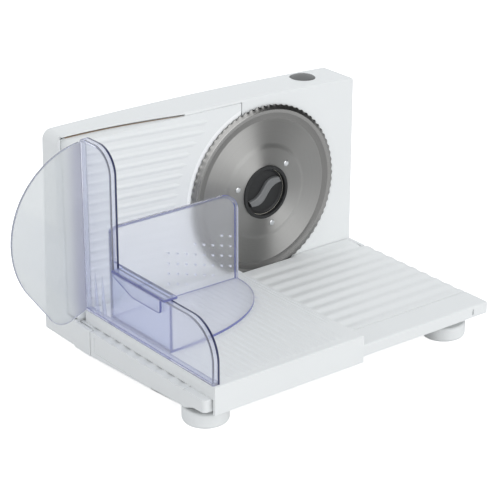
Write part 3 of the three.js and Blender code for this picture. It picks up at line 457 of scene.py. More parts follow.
WHITE = grained("white_abs", (0.83, 0.845, 0.845), 0.42, 1500.0, 0.05, 0.02)
DARK = grained("dark_grey_plastic", (0.024, 0.0245, 0.025), 0.45, 1200.0, 0.10, 0.10, Specular_IOR_Level=0.25)
# Painted light: a lighter copy of the dark grey, for the lit lock bar.
BAR_LIT_GREY = grained("lock_bar_painted_light_grey", (0.165, 0.168, 0.170), 0.40, 1200.0, 0.10, 0.10)
BUTTON_GREY = grained("button_grey", (0.12, 0.123, 0.123), 0.50, 1200.0, 0.14, 0.12)
# Painted shade: a brown colour for the strip that darkens the seam over the guide plate's hood.
SEAM_SHADE = grained("seam_painted_shade", (0.40, 0.29, 0.21), 0.9, 400.0, 0.5, 0.25)
ZINC = grained("zinc_steel", (0.60, 0.61, 0.62), 0.34, 700.0, 0.06, 0.08, metal=1.0)
ACETAL = grained("natural_acetal", (0.79, 0.76, 0.67), 0.45, 900.0, 0.05, 0.03)
# Painted highlight: a lighter copy of the white ABS, for the guide plate's bevel.
BEVEL_PAINTED_HIGHLIGHT = grained("white_abs_painted_highlight", (0.96, 0.97, 0.97), 0.30, 1500.0, 0.03, 0.02)
RUBBER = grained("pale_rubber", (0.83, 0.845, 0.845), 0.62, 600.0, 0.12, 0.05)
print("grained finishes ready")

# %% [markdown]
# The guard and pusher are clear styrene, a little hazy. The flat hardly colours what lies behind it.
# Along the edges light runs a long way inside, and comes out blue-violet, or hardly at all.
# So each flat and each edge has its own tint and its own share of haze, over an absorption inside the body;
# the tints of the edges, rims, deck and saddle and the white of the spikes are painted light and shade.
# Soft light passes straight through to the white parts, which keeps the shadows pale.

# %% Clear styrene
def clear(name, tint, rough, weight, density=20.0):
    """Clear plastic: weight is the share of light that goes through, and the rest is haze in the tint."""
    material, tree, shader = start(name)
    put(shader, Base_Color=(*tint, 1), Roughness=rough, IOR=1.5, Transmission_Weight=weight)
    depth = add(tree, "VolumeAbsorption", Color=(0.45, 0.48, 0.86, 1), Density=density)[0]
    passing = add(tree, "BsdfTransparent", Color=(0.99, 0.992, 1.0, 1))[0]
    path = add(tree, "LightPath")
    soft = calc(tree, "MAXIMUM", path["Is Shadow Ray"], path["Is Diffuse Ray"])
    surface = tree.nodes["Principled BSDF"].outputs[0]
    mix = add(tree, "MixShader", {0: soft, 1: surface, 2: passing})[0]
    output = tree.nodes["Material Output"].inputs
    tree.links.new(mix, output["Surface"])
    tree.links.new(depth, output["Volume"])
    return material


OPEN, JOIN_SHADE_TINT = (0.80, 0.82, 0.81), (0.60, 0.605, 0.66)
CLEAR = clear("clear_styrene", (0.985, 0.99, 1.0), 0.26, 0.92)
# Painted light and shade: the saddle's deeper violet stands in for light lost through several layers, and the
# deck's lighter tint brightens the shaded floor of the pusher.
SADDLE_PAINTED_SHADE = clear("clear_styrene_saddle_painted_shade", (0.79, 0.825, 0.95), 0.05, 0.9)
SCREEN = clear("clear_styrene_screen", (0.90, 0.915, 0.955), 0.12, 1.0)
SHIELD = clear("clear_styrene_shield", OPEN, 0.07, 0.64)
# Painted light and shade: tinted copies of the clear styrene for its edges and rims, from pale lilac to near
# black.
EDGE_PAINTED_TINT = clear("clear_styrene_edge_painted_shade", (0.21, 0.23, 0.50), 0.25, 0.3)
# Painted highlight: a near-white copy of the clear styrene.
WHITE_PAINTED_HIGHLIGHT = clear("clear_styrene_painted_highlight", (1.0, 1.0, 1.0), 0.05, 0.15)
RIM_PAINTED_TINT = clear("clear_styrene_rim_painted_light", (0.84, 0.86, 0.94), 0.12, 0.8)
SHIELD_EDGE_PAINTED_TINT = clear("clear_styrene_shield_edge_painted_shade", (0.66, 0.69, 0.76), 0.2, 0.6, 32.0)
FAR_EDGE_PAINTED_SHADE = clear("clear_styrene_far_edge_painted_shade", (0.035, 0.04, 0.10), 0.25, 0.05)
DECK_PAINTED_LIGHT = clear("clear_styrene_deck_painted_light", (0.96, 0.97, 1.0), 0.24, 0.8, 16.0)
NEAR_EDGE_PAINTED_TINT = clear("clear_styrene_near_edge_painted_shade", (0.42, 0.44, 0.56), 0.25, 0.3)

# Painted shade: the shield's tint darkens over the 20 mm next to the guard.
tree = SHIELD.node_tree
ends = [(GUARD_X - d + SHIFT[0]) / 1000 for d in (20, 2)]
joint = use(tree, PAINTED_JOIN_SHADE, Open=(*OPEN, 1), Joined=(*JOIN_SHADE_TINT, 1), Start=ends[0], End=ends[1])
tree.links.new(joint["Colour"], tree.nodes["Principled BSDF"].inputs["Base Color"])
print("clear styrene ready")

# %% [markdown]
# The blade is turned stainless steel. Fine circular lines spread each lamp into a bow-tie of light.
# The shader is told the direction of the lines, so that the bow-tie comes from the lamps themselves.
# The raised ring and the ground rim reflect less of the bright side, so they get darker copies of the steel:
# painted shade.

# %% Blade steel
def steel(name, colour, rough, along):
    """Turned steel round the blade axis; along is how far the lines stretch a lamp outwards."""
    material, tree, shader = start(name)
    centre = ((np.array([AXLE[0], 0, AXLE[1]]) + SHIFT) / 1000).tolist()
    rings = use(tree, TURNED, Centre=centre, Pitch=2600.0, Contrast=0.5)
    tone = add(tree, "VectorMath", {0: colour, "Scale": rings["Tone"]}, operation="SCALE")[0]
    bump = add(tree, "Bump", {"Height": rings["Height"]}, Strength=0.10, Distance=0.0002)
    outwards = add(tree, "VectorMath", {0: arm_from(tree, centre)}, operation="NORMALIZE")[0]
    world_way = add(tree, "VectorTransform", {"Vector": outwards}, vector_type="VECTOR",
                    convert_from="OBJECT", convert_to="WORLD")[0]
    tree.links.new(tone, shader["Base Color"])
    tree.links.new(bump["Normal"], shader["Normal"])
    tree.links.new(world_way, shader["Tangent"])
    put(shader, Metallic=1.0, Roughness=rough, Anisotropic=along)
    return material


STEEL = steel("blade_steel", (0.365, 0.36, 0.35), 0.5, 0.95)
CREST_STEEL_SHADED = steel("blade_crest_painted_shade_steel", (0.28, 0.276, 0.268), 0.25, 0.4)
RIM_STEEL_SHADED = steel("blade_rim_painted_shade_steel", (0.205, 0.202, 0.196), 0.30, 0.4)
print("blade steel ready")

# %% [markdown]
# Pieces inside the housing stay as the measured solids, in the finish of their material.

# %% Finishes of the inner pieces
FINISHES = {"white_abs": WHITE, "clear_styrene": CLEAR, "blade_steel": STEEL, "dark_grey_plastic": DARK,
            "button_grey": BUTTON_GREY, "zinc_steel": ZINC, "natural_acetal": ACETAL, "pale_rubber": RUBBER}
parts = frame["record"]["subparts"]
for part in parts:
    for held in frame["nodes"][part["node"]].material_slots:
        held.material = FINISHES[part["material_slot"]]
print("solids with a finish", len(parts))

# %% [markdown]
# The blade is dished: a flat middle for the rivets, a step, a long cone, a raised ring and a ground bevel.
# Its edge is wavy, with 76 scallops ground into the front of the rim.
# One grid over radius and angle holds all of it, and the scallops are a cosine of the angle.

# %% Blade
GRIND, CREST = 4.2, 80.5
RIM_FROM, CREST_FROM, CREST_TO = 71.5, 77.6, 80.8


def scallops(r, h, a):
    """Past the start of the grind, a cosine with one wave per tooth pulls the rim in and dents the front."""
    wave = 0.5 - 0.5 * np.cos(TEETH * a)
    grind = np.clip((r - (BLADE_R - GRIND)) / GRIND, 0, 1)
    front = h < 0.75
    return r - 0.95 * wave * grind ** 3, h + np.where(front, 0.18 * wave * grind * (1 - 0.6 * grind), 0)


front = fillet([[24.2, -2.6], [43.5, -2.6], [47, -0.9], [71, -0.35], [74, -0.6], [78.5, -1.7],
                [CREST, -1.75]], 1.6, 6, closed=False)
r = np.linspace(CREST + 0.6, BLADE_R, 14)
grind = np.column_stack([r, np.interp(r, [CREST, BLADE_R], [-1.75, 0.6])])
back = [[BLADE_R, 0.95], [72, 0.9], [47, 0.6], [43.5, -1.2], [24.2, -1.2]]
blade = turned("blade_disc", chain(front, grind, back), AXLE, n=TEETH * 12, loop=True, shape=scallops)
dress(blade, STEEL, "cutter", "blade_steel", "blade")
(fx, fy, fz), *_ = faces_of(blade)
radius = np.hypot(fx, fz - AXLE[1])
# Painted shade: darker steels on the ground rim and on the front of the raised ring.
refinish(blade, radius > RIM_FROM, RIM_STEEL_SHADED)
refinish(blade, (radius > CREST_FROM) & (radius < CREST_TO) & (fy < 0), CREST_STEEL_SHADED)

# %% [markdown]
# A dark ring frames the hub. Inside it the lock is a cup with a wavy bar to turn it by.
# The bar's spine is one wave of a sine, and its sides lean in towards the top.
# Three round heads hold the blade to its gear, a third of a turn apart.

# %% Hub ring, lock knob and rivets
profile = fillet([[22.8, -4.3], [25.4, -4.3], [26.2, -3.7], [26.2, -2.62], [24, -2.62], [24, 0],
                  [22.8, 0]], 0.35)
ring = turned("hub_collar", profile, AXLE, n=128, loop=True)
dress(ring, DARK, "cutter", "dark_grey_plastic", "hub_ring")

t = np.linspace(-1, 1, 41)
spine = np.column_stack([20.6 * t, 3.4 * np.sin(np.pi * t)])
half = 4.9 * (1 - 0.35 * t ** 2)
bar = chain(spine + np.column_stack([0 * t, half]), (spine - np.column_stack([0 * t, half]))[::-1])
turn = np.radians(26)
spin = np.array([[np.cos(turn), np.sin(turn)], [-np.sin(turn), np.cos(turn)]])
bar = bar @ spin + AXLE
levels = [(1.6, -3.0), (1.1, -2.93), (0.6, -2.65), (0.22, -2.15), (0.0, -1.4), (0.0, 1.0)]
grip = skin("lock_bar", [lift(inset(bar, d), "y", h) for d, h in levels])
profile = fillet([[0, 3.1], [22.3, 3.1], [22.3, -0.6], [21.4, -0.6], [20, 0.4], [0, 0.4]], 0.5, closed=False)
cup = turned("lock_knob", profile, AXLE, n=96)
dress(weld(cup, grip), DARK, "lock", "dark_grey_plastic", "blade_lock_knob")
(fx, fy, fz), *_ = faces_of(cup)
# Painted light: the bar's front faces take the lighter grey, and the cup round it stays dark.
refinish(cup, (fy < 0.35) & (np.hypot(fx, fz - AXLE[1]) < 19.7), BAR_LIT_GREY)

head = fillet([[0, -3.52], [2.0, -3.45], [2.9, -3.02], [2.9, -2.62], [2.0, -2.62], [2.0, 1.8], [0, 1.8]],
              0.3, closed=False)
for i in range(3):
    angle = radians(163.6 + 120 * i)
    spot = AXLE + 34 * np.array([np.cos(angle), np.sin(angle)])
    rivet = turned(f"rivet_{i + 1}", head, spot, n=32)
    dress(rivet, ZINC, "cutter", "zinc_steel", f"blade_rivet_{i + 1}")

# %% [markdown]
# The housing is a moulded shell with an arched top, soft front corners and a back that leans out to the foot.
# Rings of one outline, each a little further in or back, give the whole shell, with its rounded front edge.
# The hinge ears are joined on, and rooms for the guide plate, the button and the gear are then cut.

# %% Front housing
AHEAD, ROOM_BACK = -11, 5.02


def housing_outline(d):
    """The housing seen from the front, drawn in by d: straight sides, rounded corners and the arch."""
    l, r, b = LEFT + d, RIGHT - d, FOOT + d
    rl, rr, rb = (max(q - d, 1) for q in (9, 3.5, 4))
    x = np.linspace(r - rr, l + rl, 64)
    return chain(arc(l + rb, b + rb, rb, 180, 270, 8), arc(r - rb, b + rb, rb, 270, 360, 8),
                 arc(r - rr, top_z(r - rr) - d - rr, rr, 0, 84, 8), np.column_stack([x, top_z(x) - d]),
                 arc(l + rl, top_z(l + rl) - d - rl, rl, 93, 180, 14))


def parting_y(x):
    """Depth of the parting line: a quarter of a sine from the front to 16.5 behind it at the left end."""
    share = np.minimum(1, (PARTING_RIGHT - x) / (PARTING_RIGHT - LEFT))
    return FRONT + 16.5 * np.sin(share * np.pi / 2)


def parting_plan(step):
    """The curved parting line seen from above, moved back by step and closed well in front."""
    x = np.linspace(LEFT - 6, PARTING_RIGHT, 40)
    return chain(np.column_stack([x, parting_y(x) + step]), [PARTING_RIGHT, AHEAD], [LEFT - 6, AHEAD])


def arch(x0, x1, n, drop):
    """Points along the arched top, lowered by drop."""
    x = np.linspace(x0, x1, n + 1)
    return np.column_stack([x, top_z(x) - drop])


def shell_ring(d, depth=None, in_from_back=0.0):
    """One ring of the housing: at a plain depth, or on the leaning back."""
    outline = housing_outline(d)
    return lift(outline, "y", back_y(outline[:, 1]) - in_from_back if depth is None else depth)


def room(name, r, lo, hi, centre, axis="y", n=96):
    """A round room of radius r from lo to hi."""
    return turned(name, corners(0, r, lo, hi), centre, axis, n)


rounding = [shell_ring(d, FRONT + h) for d, h in zip(*quarter(2, 6))]
rim = [shell_ring(d, None, h) for d, h in ((0, 0.6), (0.2, 0.2), (0.6, 0.0), (2.3, 0.0), (WALL, 0.2))]
housing = skin("housing", rounding + rim + [shell_ring(WALL, FRONT + WALL)])
ears = [brick("ear", x, x + 5, -20, 5.5, FOOT, TRAY_TOP, 1.0) for x in (LEFT, RIGHT - 5)]
partition = brick("partition", -46, -43.5, 3.5, 44, FOOT + 1, AXLE[1] + 56.5)
weld(housing, *ears, partition)

under = PLATE_BOTTOM - 1
inner, lip_low = LEFT + WALL, CROWN_Z - 24.6
wedge = slab("wedge", parting_plan(0), "z", under, ABOVE)
lip = slab("lip", chain(arch(PARTING_RIGHT, inner, 24, 1.3), [inner, lip_low], [PARTING_RIGHT, lip_low]),
           "y", AHEAD, 45)
combine(lip, [slab("lip_plan", parting_plan(4), "z", lip_low - 6, ABOVE)], "INTERSECT")
opening = slab("opening", chain([inner, under], [-46, under], arch(-46, inner, 24, WALL + 0.1)),
               "y", AHEAD, ROOM_BACK)
above = slab("above", chain([-47, AXLE[1]], [PLATE_END + 2, AXLE[1]], arch(PLATE_END + 2, -47, 8, WALL)),
             "y", AHEAD, ROOM_BACK)
carve(above, room("keep", PLATE_ARC - 0.7, -22, 22, AXLE, n=180))
gear_room = room("gear_room", 41.5, AHEAD, ROOM_BACK + 0.02, AXLE)
button_room = room("button_room", 12.55, CROWN_Z - 15, ABOVE, BUTTON, "z")
carve(housing, wedge, lip, opening, above, gear_room, button_room)
soften(housing, 0.25)
dress(housing, WHITE, "machine", "white_abs", "front_housing")

# %% [markdown]
# The back is a flat, leaning panel let into the shell. Slices leave by the tall outlet behind the blade.
# The vents lie over the motor, and each screw has a stepped seat.

# %% Rear cover
THROUGH = (20, 80)
GLAND = (RIGHT - 28, FOOT + 24)
cover = skin("rear_panel", [shell_ring(d, None, h) for d, h in ((2.7, 3), (2.7, 0.5), (3.1, 0.05))])
outline = fillet(corners(-86, -50, PLATE_BOTTOM + 9.5, AXLE[1] + 55.5), 6, 8)
outlet = slab("outlet", outline, "y", *THROUGH)
motor = AXLE + (45 + 33) * np.array([np.cos(radians(-20)), np.sin(radians(-20))])
vents = gather("vents", [brick("vent", motor[0] - 18, motor[0] + 18, *THROUGH, z, z + 2.8, 1.3)
                         for z in motor[1] - 20 + 6.5 * np.arange(7)])


def seat_profile(z):
    """The bore and the wider seat of a screw, 1.8 below the leaning back at height z."""
    lo, hi = THROUGH
    step = back_y(z) - 1.8
    return [[0, lo], [1.75, lo], [1.75, step], [3.6, step], [3.6, hi], [0, hi]]


seats = gather("seats", [turned("seat", seat_profile(z), (x, z), n=32) for x, z in SCREWS])
spindle = room("spindle_room", 5.25, *THROUGH, KNOB, n=48)
gland = room("gland_room", 5.2, *THROUGH, GLAND, n=48)
carve(cover, outlet, vents, seats, spindle, gland)
soften(cover, 0.4)
dress(cover, WHITE, "machine", "white_abs", "rear_cover")

# %% [markdown]
# The guide plate is the ribbed wall that the food slides along. It wraps round the left of the blade.
# A bevel runs along the arc in a lighter white, a painted highlight, and its ribs are low swells that rise a
# little to the left.
# A hood on its top and left edge closes the gap when the plate moves back.
# A brown strip in the seam over the hood is painted shade that darkens the seam, and grows narrower to the
# right.

# %% Guide plate
foot_angle = 180 + np.degrees(np.arcsin((AXLE[1] - PLATE_BOTTOM) / PLATE_ARC))
end_angle = np.degrees(np.arccos(PLATE_END / PLATE_ARC))
corner = (PLATE_LEFT + 6, top_z(PLATE_LEFT + 6) - 8.9)
outline = chain([PLATE_LEFT, PLATE_BOTTOM], arc(*AXLE, PLATE_ARC, foot_angle, end_angle, 120),
                arch(PLATE_END, PLATE_LEFT + 6, 30, 2.7), arc(*corner, 6, 90, 180, 8))
face = slab("guide_wall", outline, "y", 1, 3.5)


def hood(d):
    """The box of the hood, d smaller at the left and top, open below and to the right."""
    outline = chain([PLATE_LEFT + d, PLATE_BOTTOM - d], [PARTING_RIGHT, PLATE_BOTTOM - d],
                    arch(PARTING_RIGHT, PLATE_LEFT + 6, 30, 2.9 + d), arc(*corner, 6 - d, 90, 180, 8))
    return slab("hood", outline, "y", 1 - d, 40 + d)


walls = carve(hood(0), hood(2.3))
combine(walls, [slab("hood_plan", parting_plan(3.5), "z", 0, ABOVE)], "INTERSECT")
weld(face, walls)
nick = brick("nick", -46.4, 0, -5, 9.5, 0, AXLE[1])
profile = [[PLATE_ARC - 3, -2], [PLATE_ARC + 8, 0.6], [PLATE_ARC - 3, 2.9]]
carve(face, nick, turned("bevel", profile, AXLE, n=240, loop=True))
soften(face, 0.25)


def swell(x0, x1, z, slope):
    """A rib: a cosine swell across, carried along X with a slope, and run down to nothing at both ends."""
    s = np.linspace(0, 1, 25)
    x = x0 + (x1 - x0) * s
    size = np.sqrt(np.clip(np.minimum(x - x0, x1 - x) / 5, 0.02, 1))
    v = np.linspace(-1, 1, 13)
    across, lift_up = 3.3 * v, 0.75 * (0.5 + 0.5 * np.cos(np.pi * v))
    zs = z + slope * (x1 - x)[:, None] + across * size[:, None]
    ys = 1.02 - lift_up * size[:, None]
    top = np.stack([x[:, None] + 0 * zs, ys, zs], -1)
    floor = np.stack([x[:, None] + 0 * zs[:, :1], 0 * ys[:, :1] + 1.6, zs[:, 6:7]], -1)
    return skin("rib", np.concatenate([top, floor], 1))


PITCH = 9.1
heights = PLATE_BOTTOM + 13.8 - 2.2 + PITCH * np.arange(int((CROWN_Z - PLATE_BOTTOM - 24.5) / PITCH) + 1)
reach = np.sqrt(np.maximum(0, (PLATE_ARC + 17) ** 2 - (heights - AXLE[1]) ** 2))
ribs = gather("ribs", [swell(PLATE_LEFT + 14, min(-64, -r), z, 0.055) for z, r in zip(heights, reach)])
weld(face, ribs)
dress(face, WHITE, "guide", "white_abs", "guide_plate")
(fx, fy, fz), (_, ny, _), _ = faces_of(face)
radius = np.hypot(fx, fz - AXLE[1])
bevel_highlight_faces = (radius > PLATE_ARC - 0.5) & (radius < PLATE_ARC + 6.2) & (fy > 1.01) & (ny < -0.5)
# The bevel faces take the lighter white, a painted highlight.
refinish(face, bevel_highlight_faces, BEVEL_PAINTED_HIGHLIGHT)

# Painted shade: a thin brown strip under the housing's lip darkens the seam over the hood.
x = np.linspace(PLATE_LEFT + 5, PARTING_RIGHT - 1, 60)
depths = np.stack([parting_y(x) + 0.3, parting_y(x) + np.linspace(3.2, 0.9, 60)], 1)
line = np.stack([x, x], 1)
crest = top_z(line) - 2.9
seam_strip = closed_grid("seam_painted_shade", np.stack([line, depths, crest + 0.3], -1),
                   np.stack([line, depths, crest - 0.1], -1))
dress(seam_strip, SEAM_SHADE, "guide", "dark_grey_plastic")

# %% [markdown]
# The button is a shallow dome on a stem, with a flange that keeps it under the top of the housing.

# %% Push button
t0 = top_z(BUTTON[0])
dome = arc(0, t0 - 24.3, 27.3, 90, 65, 12)
edge = fillet([dome[-1], [12.2, t0 - 0.3], [12.2, t0 - 4], [13.3, t0 - 4], [13.3, t0 - 6.5], [4, t0 - 6.5],
               [4, t0 - 11.7], [0, t0 - 11.7]], 0.5, closed=False)
button = turned("button", chain(dome, edge), BUTTON, "z", 96)
dress(button, BUTTON_GREY, "button", "button_grey", "push_button")

# %% [markdown]
# The tray's top is a wave that runs across it, so that slices slide off easily.
# A profile in Y and Z is carried along X, then walls, hinge pockets and ribs are joined from below.
# A seam marks off the front rail, and the front left corner is rounded off.
# Two wide feet hold the front of the tray, and two small ones the back of the housing.

# %% Base tray and feet
TRAY_LEFT = LEFT + 1
SEAM = TRAY_FRONT + 29.5
UNDER = TRAY_TOP - 2
RAIL = TRAY_TOP - 11.3
y = np.linspace(-12, SEAM + 3, 220)
wave = np.column_stack([y, TRAY_TOP - 1.05 * (0.5 - 0.5 * np.cos((y + 12) * 2 * np.pi / 16.2))])
groove = fillet([[SEAM + 1.4, TRAY_TOP], [SEAM + 0.75, TRAY_TOP], [SEAM, TRAY_TOP - 2.2],
                 [SEAM - 0.75, TRAY_TOP], [SEAM - 1.4, TRAY_TOP]], 0.3, closed=False)
nose = arc(TRAY_FRONT + 1.6, TRAY_TOP - 1.6, 1.6, 90, 180, 5)
section = chain([FRONT - 1, TRAY_TOP - WALL], [FRONT - 1, TRAY_TOP], wave, groove, nose,
                [TRAY_FRONT, TRAY_TOP - WALL])
tray = slab("tray", section, "x", TRAY_LEFT, RIGHT)


def tray_side(back, front):
    """A side wall seen from the side: high at the front rail, lower behind the front foot."""
    return [[0, back], [0, UNDER], [TRAY_FRONT, UNDER], [TRAY_FRONT, RAIL],
            [TRAY_FRONT + 16, RAIL - 1], [TRAY_FRONT + 28, front], [-22.5, back]]


walls = [slab("side", tray_side(6.5, 15), "x", TRAY_LEFT, TRAY_LEFT + WALL),
         slab("side", tray_side(14, 17), "x", RIGHT - WALL, RIGHT),
         brick("rail", TRAY_LEFT, RIGHT, TRAY_FRONT, TRAY_FRONT + WALL, RAIL, UNDER),
         brick("rear", TRAY_LEFT, RIGHT, -2 * WALL, -WALL, 8, UNDER)]
pockets = [brick("pocket", x, x + WALL, -24, -WALL, 8, UNDER) for x in (LEFT + 5.7, RIGHT - 8.2)]
returns = [brick("return", x, x + 7.2, -23.2, -20.7, 9, UNDER) for x in (TRAY_LEFT, RIGHT - 8.2)]
stays = [brick("stay", x, x + 2, TRAY_FRONT + 1, -3, TRAY_TOP - 8, UNDER)
         for x in LEFT + 64 + 60 * np.arange(4)]
pads = [room("pad", 12, 14, UNDER, (x, TRAY_FRONT + 24), "z", 48) for x in (LEFT + 20, RIGHT - 32)]
weld(tray, *walls, *pockets, *returns, *stays, *pads)
notches = [brick("notch", x, x + 11.7, -20.7, 8.5, -6, TRAY_TOP + 6) for x in (LEFT - 6, RIGHT - 5.7)]
slit = brick("slit", RIGHT - 19.2, RIGHT - 16.6, TRAY_FRONT - 1, TRAY_FRONT + 2.2,
             RAIL + 2.3, RAIL + 8.3, 0.8)
recess = brick("recess", TRAY_LEFT - 1, TRAY_LEFT + 0.7, SEAM + 4.5, -26, 12, TRAY_TOP - 5)
blade_room = room("blade_room", BLADE_R + 1.5, -2.3, 6, AXLE, n=180)
corner_at = np.array([TRAY_LEFT + 4, TRAY_FRONT + 4])
outline = chain(corner_at - 5, corner_at - [0, 5], arc(*corner_at, 4, 270, 180, 8), corner_at - [5, 0])
round_off = slab("round_off", outline, "z", 0, TRAY_TOP + 6)
carve(tray, *notches, slit, recess, blade_room, round_off)
soften(tray, 0.3)
dress(tray, WHITE, "machine", "white_abs", "base_tray")

FEET = [("front_left", LEFT + 20, TRAY_FRONT + 24, 20.5, 14),
        ("front_right", RIGHT - 32, TRAY_FRONT + 24, 20.5, 14),
        ("rear_left", LEFT + 26, 30, 11, 6), ("rear_right", RIGHT - 24, 30, 11, 6)]
for name, x, yy, r, h in FEET:
    profile = fillet([[0, 0], [r - 1.6, 0], [r, 2], [r, h - 1.5], [r - 1.5, h], [0, h]], 1.0, closed=False)
    foot = turned("foot_pad_" + name, profile, (x, yy), "z", 72)
    dress(foot, RUBBER, "machine", "pale_rubber", "foot_" + name)

# %% [markdown]
# The carriage carries the food past the blade. Its top has wide, low ribs along the push direction.
# The top is a height map over X and a share of the depth, because the back edge runs at a slant.
# The same grid dropped to the underside closes the body.

# %% Carriage table
ROUND, DEEP = 1.0, 185
RIB_PITCH, EDGE_PITCH = 7, 3.6
BACK_LEFT, BACK_RIGHT = -2.5, -17


def edge_drop(d, r):
    """How far a quarter-round of radius r has fallen at distance d from the edge."""
    d = np.clip(d, 0, r)
    return r - np.sqrt(r ** 2 - (r - d) ** 2)


def ease(v):
    """A smooth step from 0 to 1."""
    v = np.clip(v, 0, 1)
    return v * v * (3 - 2 * v)


def comb(phase, count, pitch, half):
    """Ribs at phase 0, 1, 2 and on: full height over half to each side, then eased out over half again."""
    off = np.abs(phase - np.round(phase)) * pitch
    return np.where((phase > -0.5) & (phase < count - 0.5), 1 - ease((off - half) / half), 0)


steps = np.array([0, 0.06, 0.2, 0.5, 1.0])
x = np.unique(np.concatenate([CAR_L + steps, np.arange(CAR_L + 2, CAR_R - 2, 0.35), CAR_R - steps]))
y_back = np.interp(x, [CAR_L, CAR_R], [BACK_LEFT, BACK_RIGHT])
depth = np.concatenate([steps, [2.6, 2.62, 6, 7, 8, 9, 10], np.linspace(14, 160, 40)])
v = np.unique(np.concatenate([depth / DEEP, 1 - (depth[:12]) / DEEP]))
yy = CAR_FRONT + v[None, :] * (y_back - CAR_FRONT)[:, None]
rib = comb((x - (CAR_L + 19.5)) / RIB_PITCH, int((CAR_R - CAR_L - 36.5) / RIB_PITCH) + 1, RIB_PITCH, 1.2)
edge_rib = comb((CAR_R - 3.5 - x) / EDGE_PITCH, 3, EDGE_PITCH, 0.5)
run = ease((yy - CAR_FRONT - 6) / 2.5) * ease((y_back[:, None] - 7 - yy) / 2.5)
edge_run = ease((yy - CAR_FRONT - 40) / 2.5) * ease((y_back[:, None] - 5 - yy) / 2.5)
near = np.minimum(np.minimum(x - CAR_L, CAR_R - x)[:, None], np.minimum(yy - CAR_FRONT, y_back[:, None] - yy))
z = CAR_TOP + 0.5 * rib[:, None] * run + 0.4 * edge_rib[:, None] * edge_run - edge_drop(near, ROUND)
xx = np.broadcast_to(x[:, None], yy.shape)
top = np.stack([xx, yy, z], -1)
hem = RAIL - 2.4
under = np.where(v < 2.61 / DEEP, hem, TRAY_TOP + 0.1) + 0 * yy
table = closed_grid("carriage", top, np.stack([xx, yy, under], -1))
hollow = [[CAR_L + WALL, CAR_FRONT + 3], [CAR_R - WALL, CAR_FRONT + 3],
          [CAR_R - WALL, BACK_RIGHT - WALL], [CAR_L + WALL, BACK_LEFT - WALL]]
carve(table, slab("hollow", hollow, "z", TRAY_TOP - 6, CAR_TOP - WALL))
hook = brick("hook", CAR_L + 8, CAR_R - 8, CAR_FRONT + 0.3, TRAY_FRONT + 5, hem, RAIL - 0.2)
runners = [brick("runner", q, q + 2, CAR_FRONT + 2, -20, TRAY_TOP + 0.1, CAR_TOP - 2)
           for q in CAR_L + 40 + 40 * np.arange(3)]
weld(table, hook, *runners)
dress(table, WHITE, "carriage", "white_abs", "carriage_table")

# %% [markdown]
# The guard is one clear moulding: a hand screen with a low rail, a raised rim all round, and a round shield.
# Its outline is carried up the outside, over the rim and down to the screen, with rounded edges on the way.
# The shield and two stays are joined to it, so that light meets no inner face.
# The far edge of the rim gets the darkest tint, a painted shade, since hardly any light comes back out of it.

# %% Side guard
GUARD_DEPTH, GUARD_RIM, GUARD_SKIN, GUARD_EDGE = 7.5, 2.2, 2.5, 0.45
FAR_SHADE_FROM = 5.1


def guard_outline(d):
    """The guard from the side, drawn in by d: a tall screen, a hollow curve, a low rail and a round nose."""
    foot, step = CAR_TOP + 0.02 + d, GUARD_BACK - 46.2
    nose = CAR_FRONT + 2.5
    return chain([GUARD_BACK - d, foot], arc(GUARD_BACK - 5.2, GUARD_TOP - 5.2, 5.2 - d, 0, 90, 8),
                 arc(step + 24, GUARD_TOP - 24, 24 - d, 90, 180, 20), [step + d, GUARD_LOW - d],
                 arc(nose + 34.5, GUARD_LOW - 34.5, 34.5 - d, 90, 180, 24), [nose + d, foot])


near, far = quarter(GUARD_EDGE)
levels = [*zip(near, far), (0, FAR_SHADE_FROM), *zip(far, GUARD_DEPTH - near),
          *zip(GUARD_RIM - near, GUARD_DEPTH - far), (GUARD_RIM, GUARD_SKIN)]
plate = skin("guard", [lift(guard_outline(d), "x", GUARD_X + h) for d, h in levels])
outline = chain([GUARD_X + 1, CAR_TOP + 1], [GUARD_X + 1, GUARD_TOP - 5.2],
                arc(GUARD_X + 10, GUARD_TOP - 86, 83.5, 98, 212, 90),
                arc(GUARD_X - 22, CAR_TOP + 11.5, 19, 205, 285, 14))
shield = slab("shield", outline, "y", GUARD_BACK - 2.5, GUARD_BACK, GUARD_EDGE)
peak = GUARD_LOW - 4.5
stay = [[GUARD_X + 1, CAR_TOP + 1], [GUARD_X + 6.5, CAR_TOP + 1], [GUARD_X + 2, peak], [GUARD_X + 1, peak]]
stays = [slab("gusset", stay, "y", GUARD_BACK - d - 0.7, GUARD_BACK - d + 0.7) for d in (16.2, 27.7)]
weld(plate, shield, *stays)
dress(plate, SCREEN, "carriage", "clear_styrene", "side_guard")
(fx, fy, fz), (nx, ny, nz), width = faces_of(plate)
outer = fx < GUARD_X - 0.2
outward = nz - ny
refinish(plate, outer, SHIELD)
# Painted light and shade: violet tints on the edges and the rim, and a near black on the far edge and the
# guard's low inner faces.
refinish(plate, outer & (width < 2.2), SHIELD_EDGE_PAINTED_TINT)
refinish(plate, ~outer & (np.abs(nx) < 0.6) & (np.abs(fy - GUARD_BACK + 1.25) > 1.3), RIM_PAINTED_TINT)
refinish(plate, ~outer & (width < 1.2) & (fy < GUARD_BACK - 4), EDGE_PAINTED_TINT)
refinish(plate, ~outer & (fx < GUARD_X + 0.5) & (outward > 0.1) & (width < 1.2), NEAR_EDGE_PAINTED_TINT)
refinish(plate, (fx > GUARD_X + FAR_SHADE_FROM) & (outward > 0.3) & (fy < GUARD_BACK - 6), FAR_EDGE_PAINTED_SHADE)
refinish(plate, (fx > GUARD_X + 6.5) & (fz < CAR_TOP + 3) & (nz > 0.1), FAR_EDGE_PAINTED_SHADE)

# %% [markdown]
# The pusher is an upright plate with a low rim, spikes that hold the food, and a curved floor in front.
# A wall and a saddle over the guard's rail guide it, and a flap hangs down outside the rail.

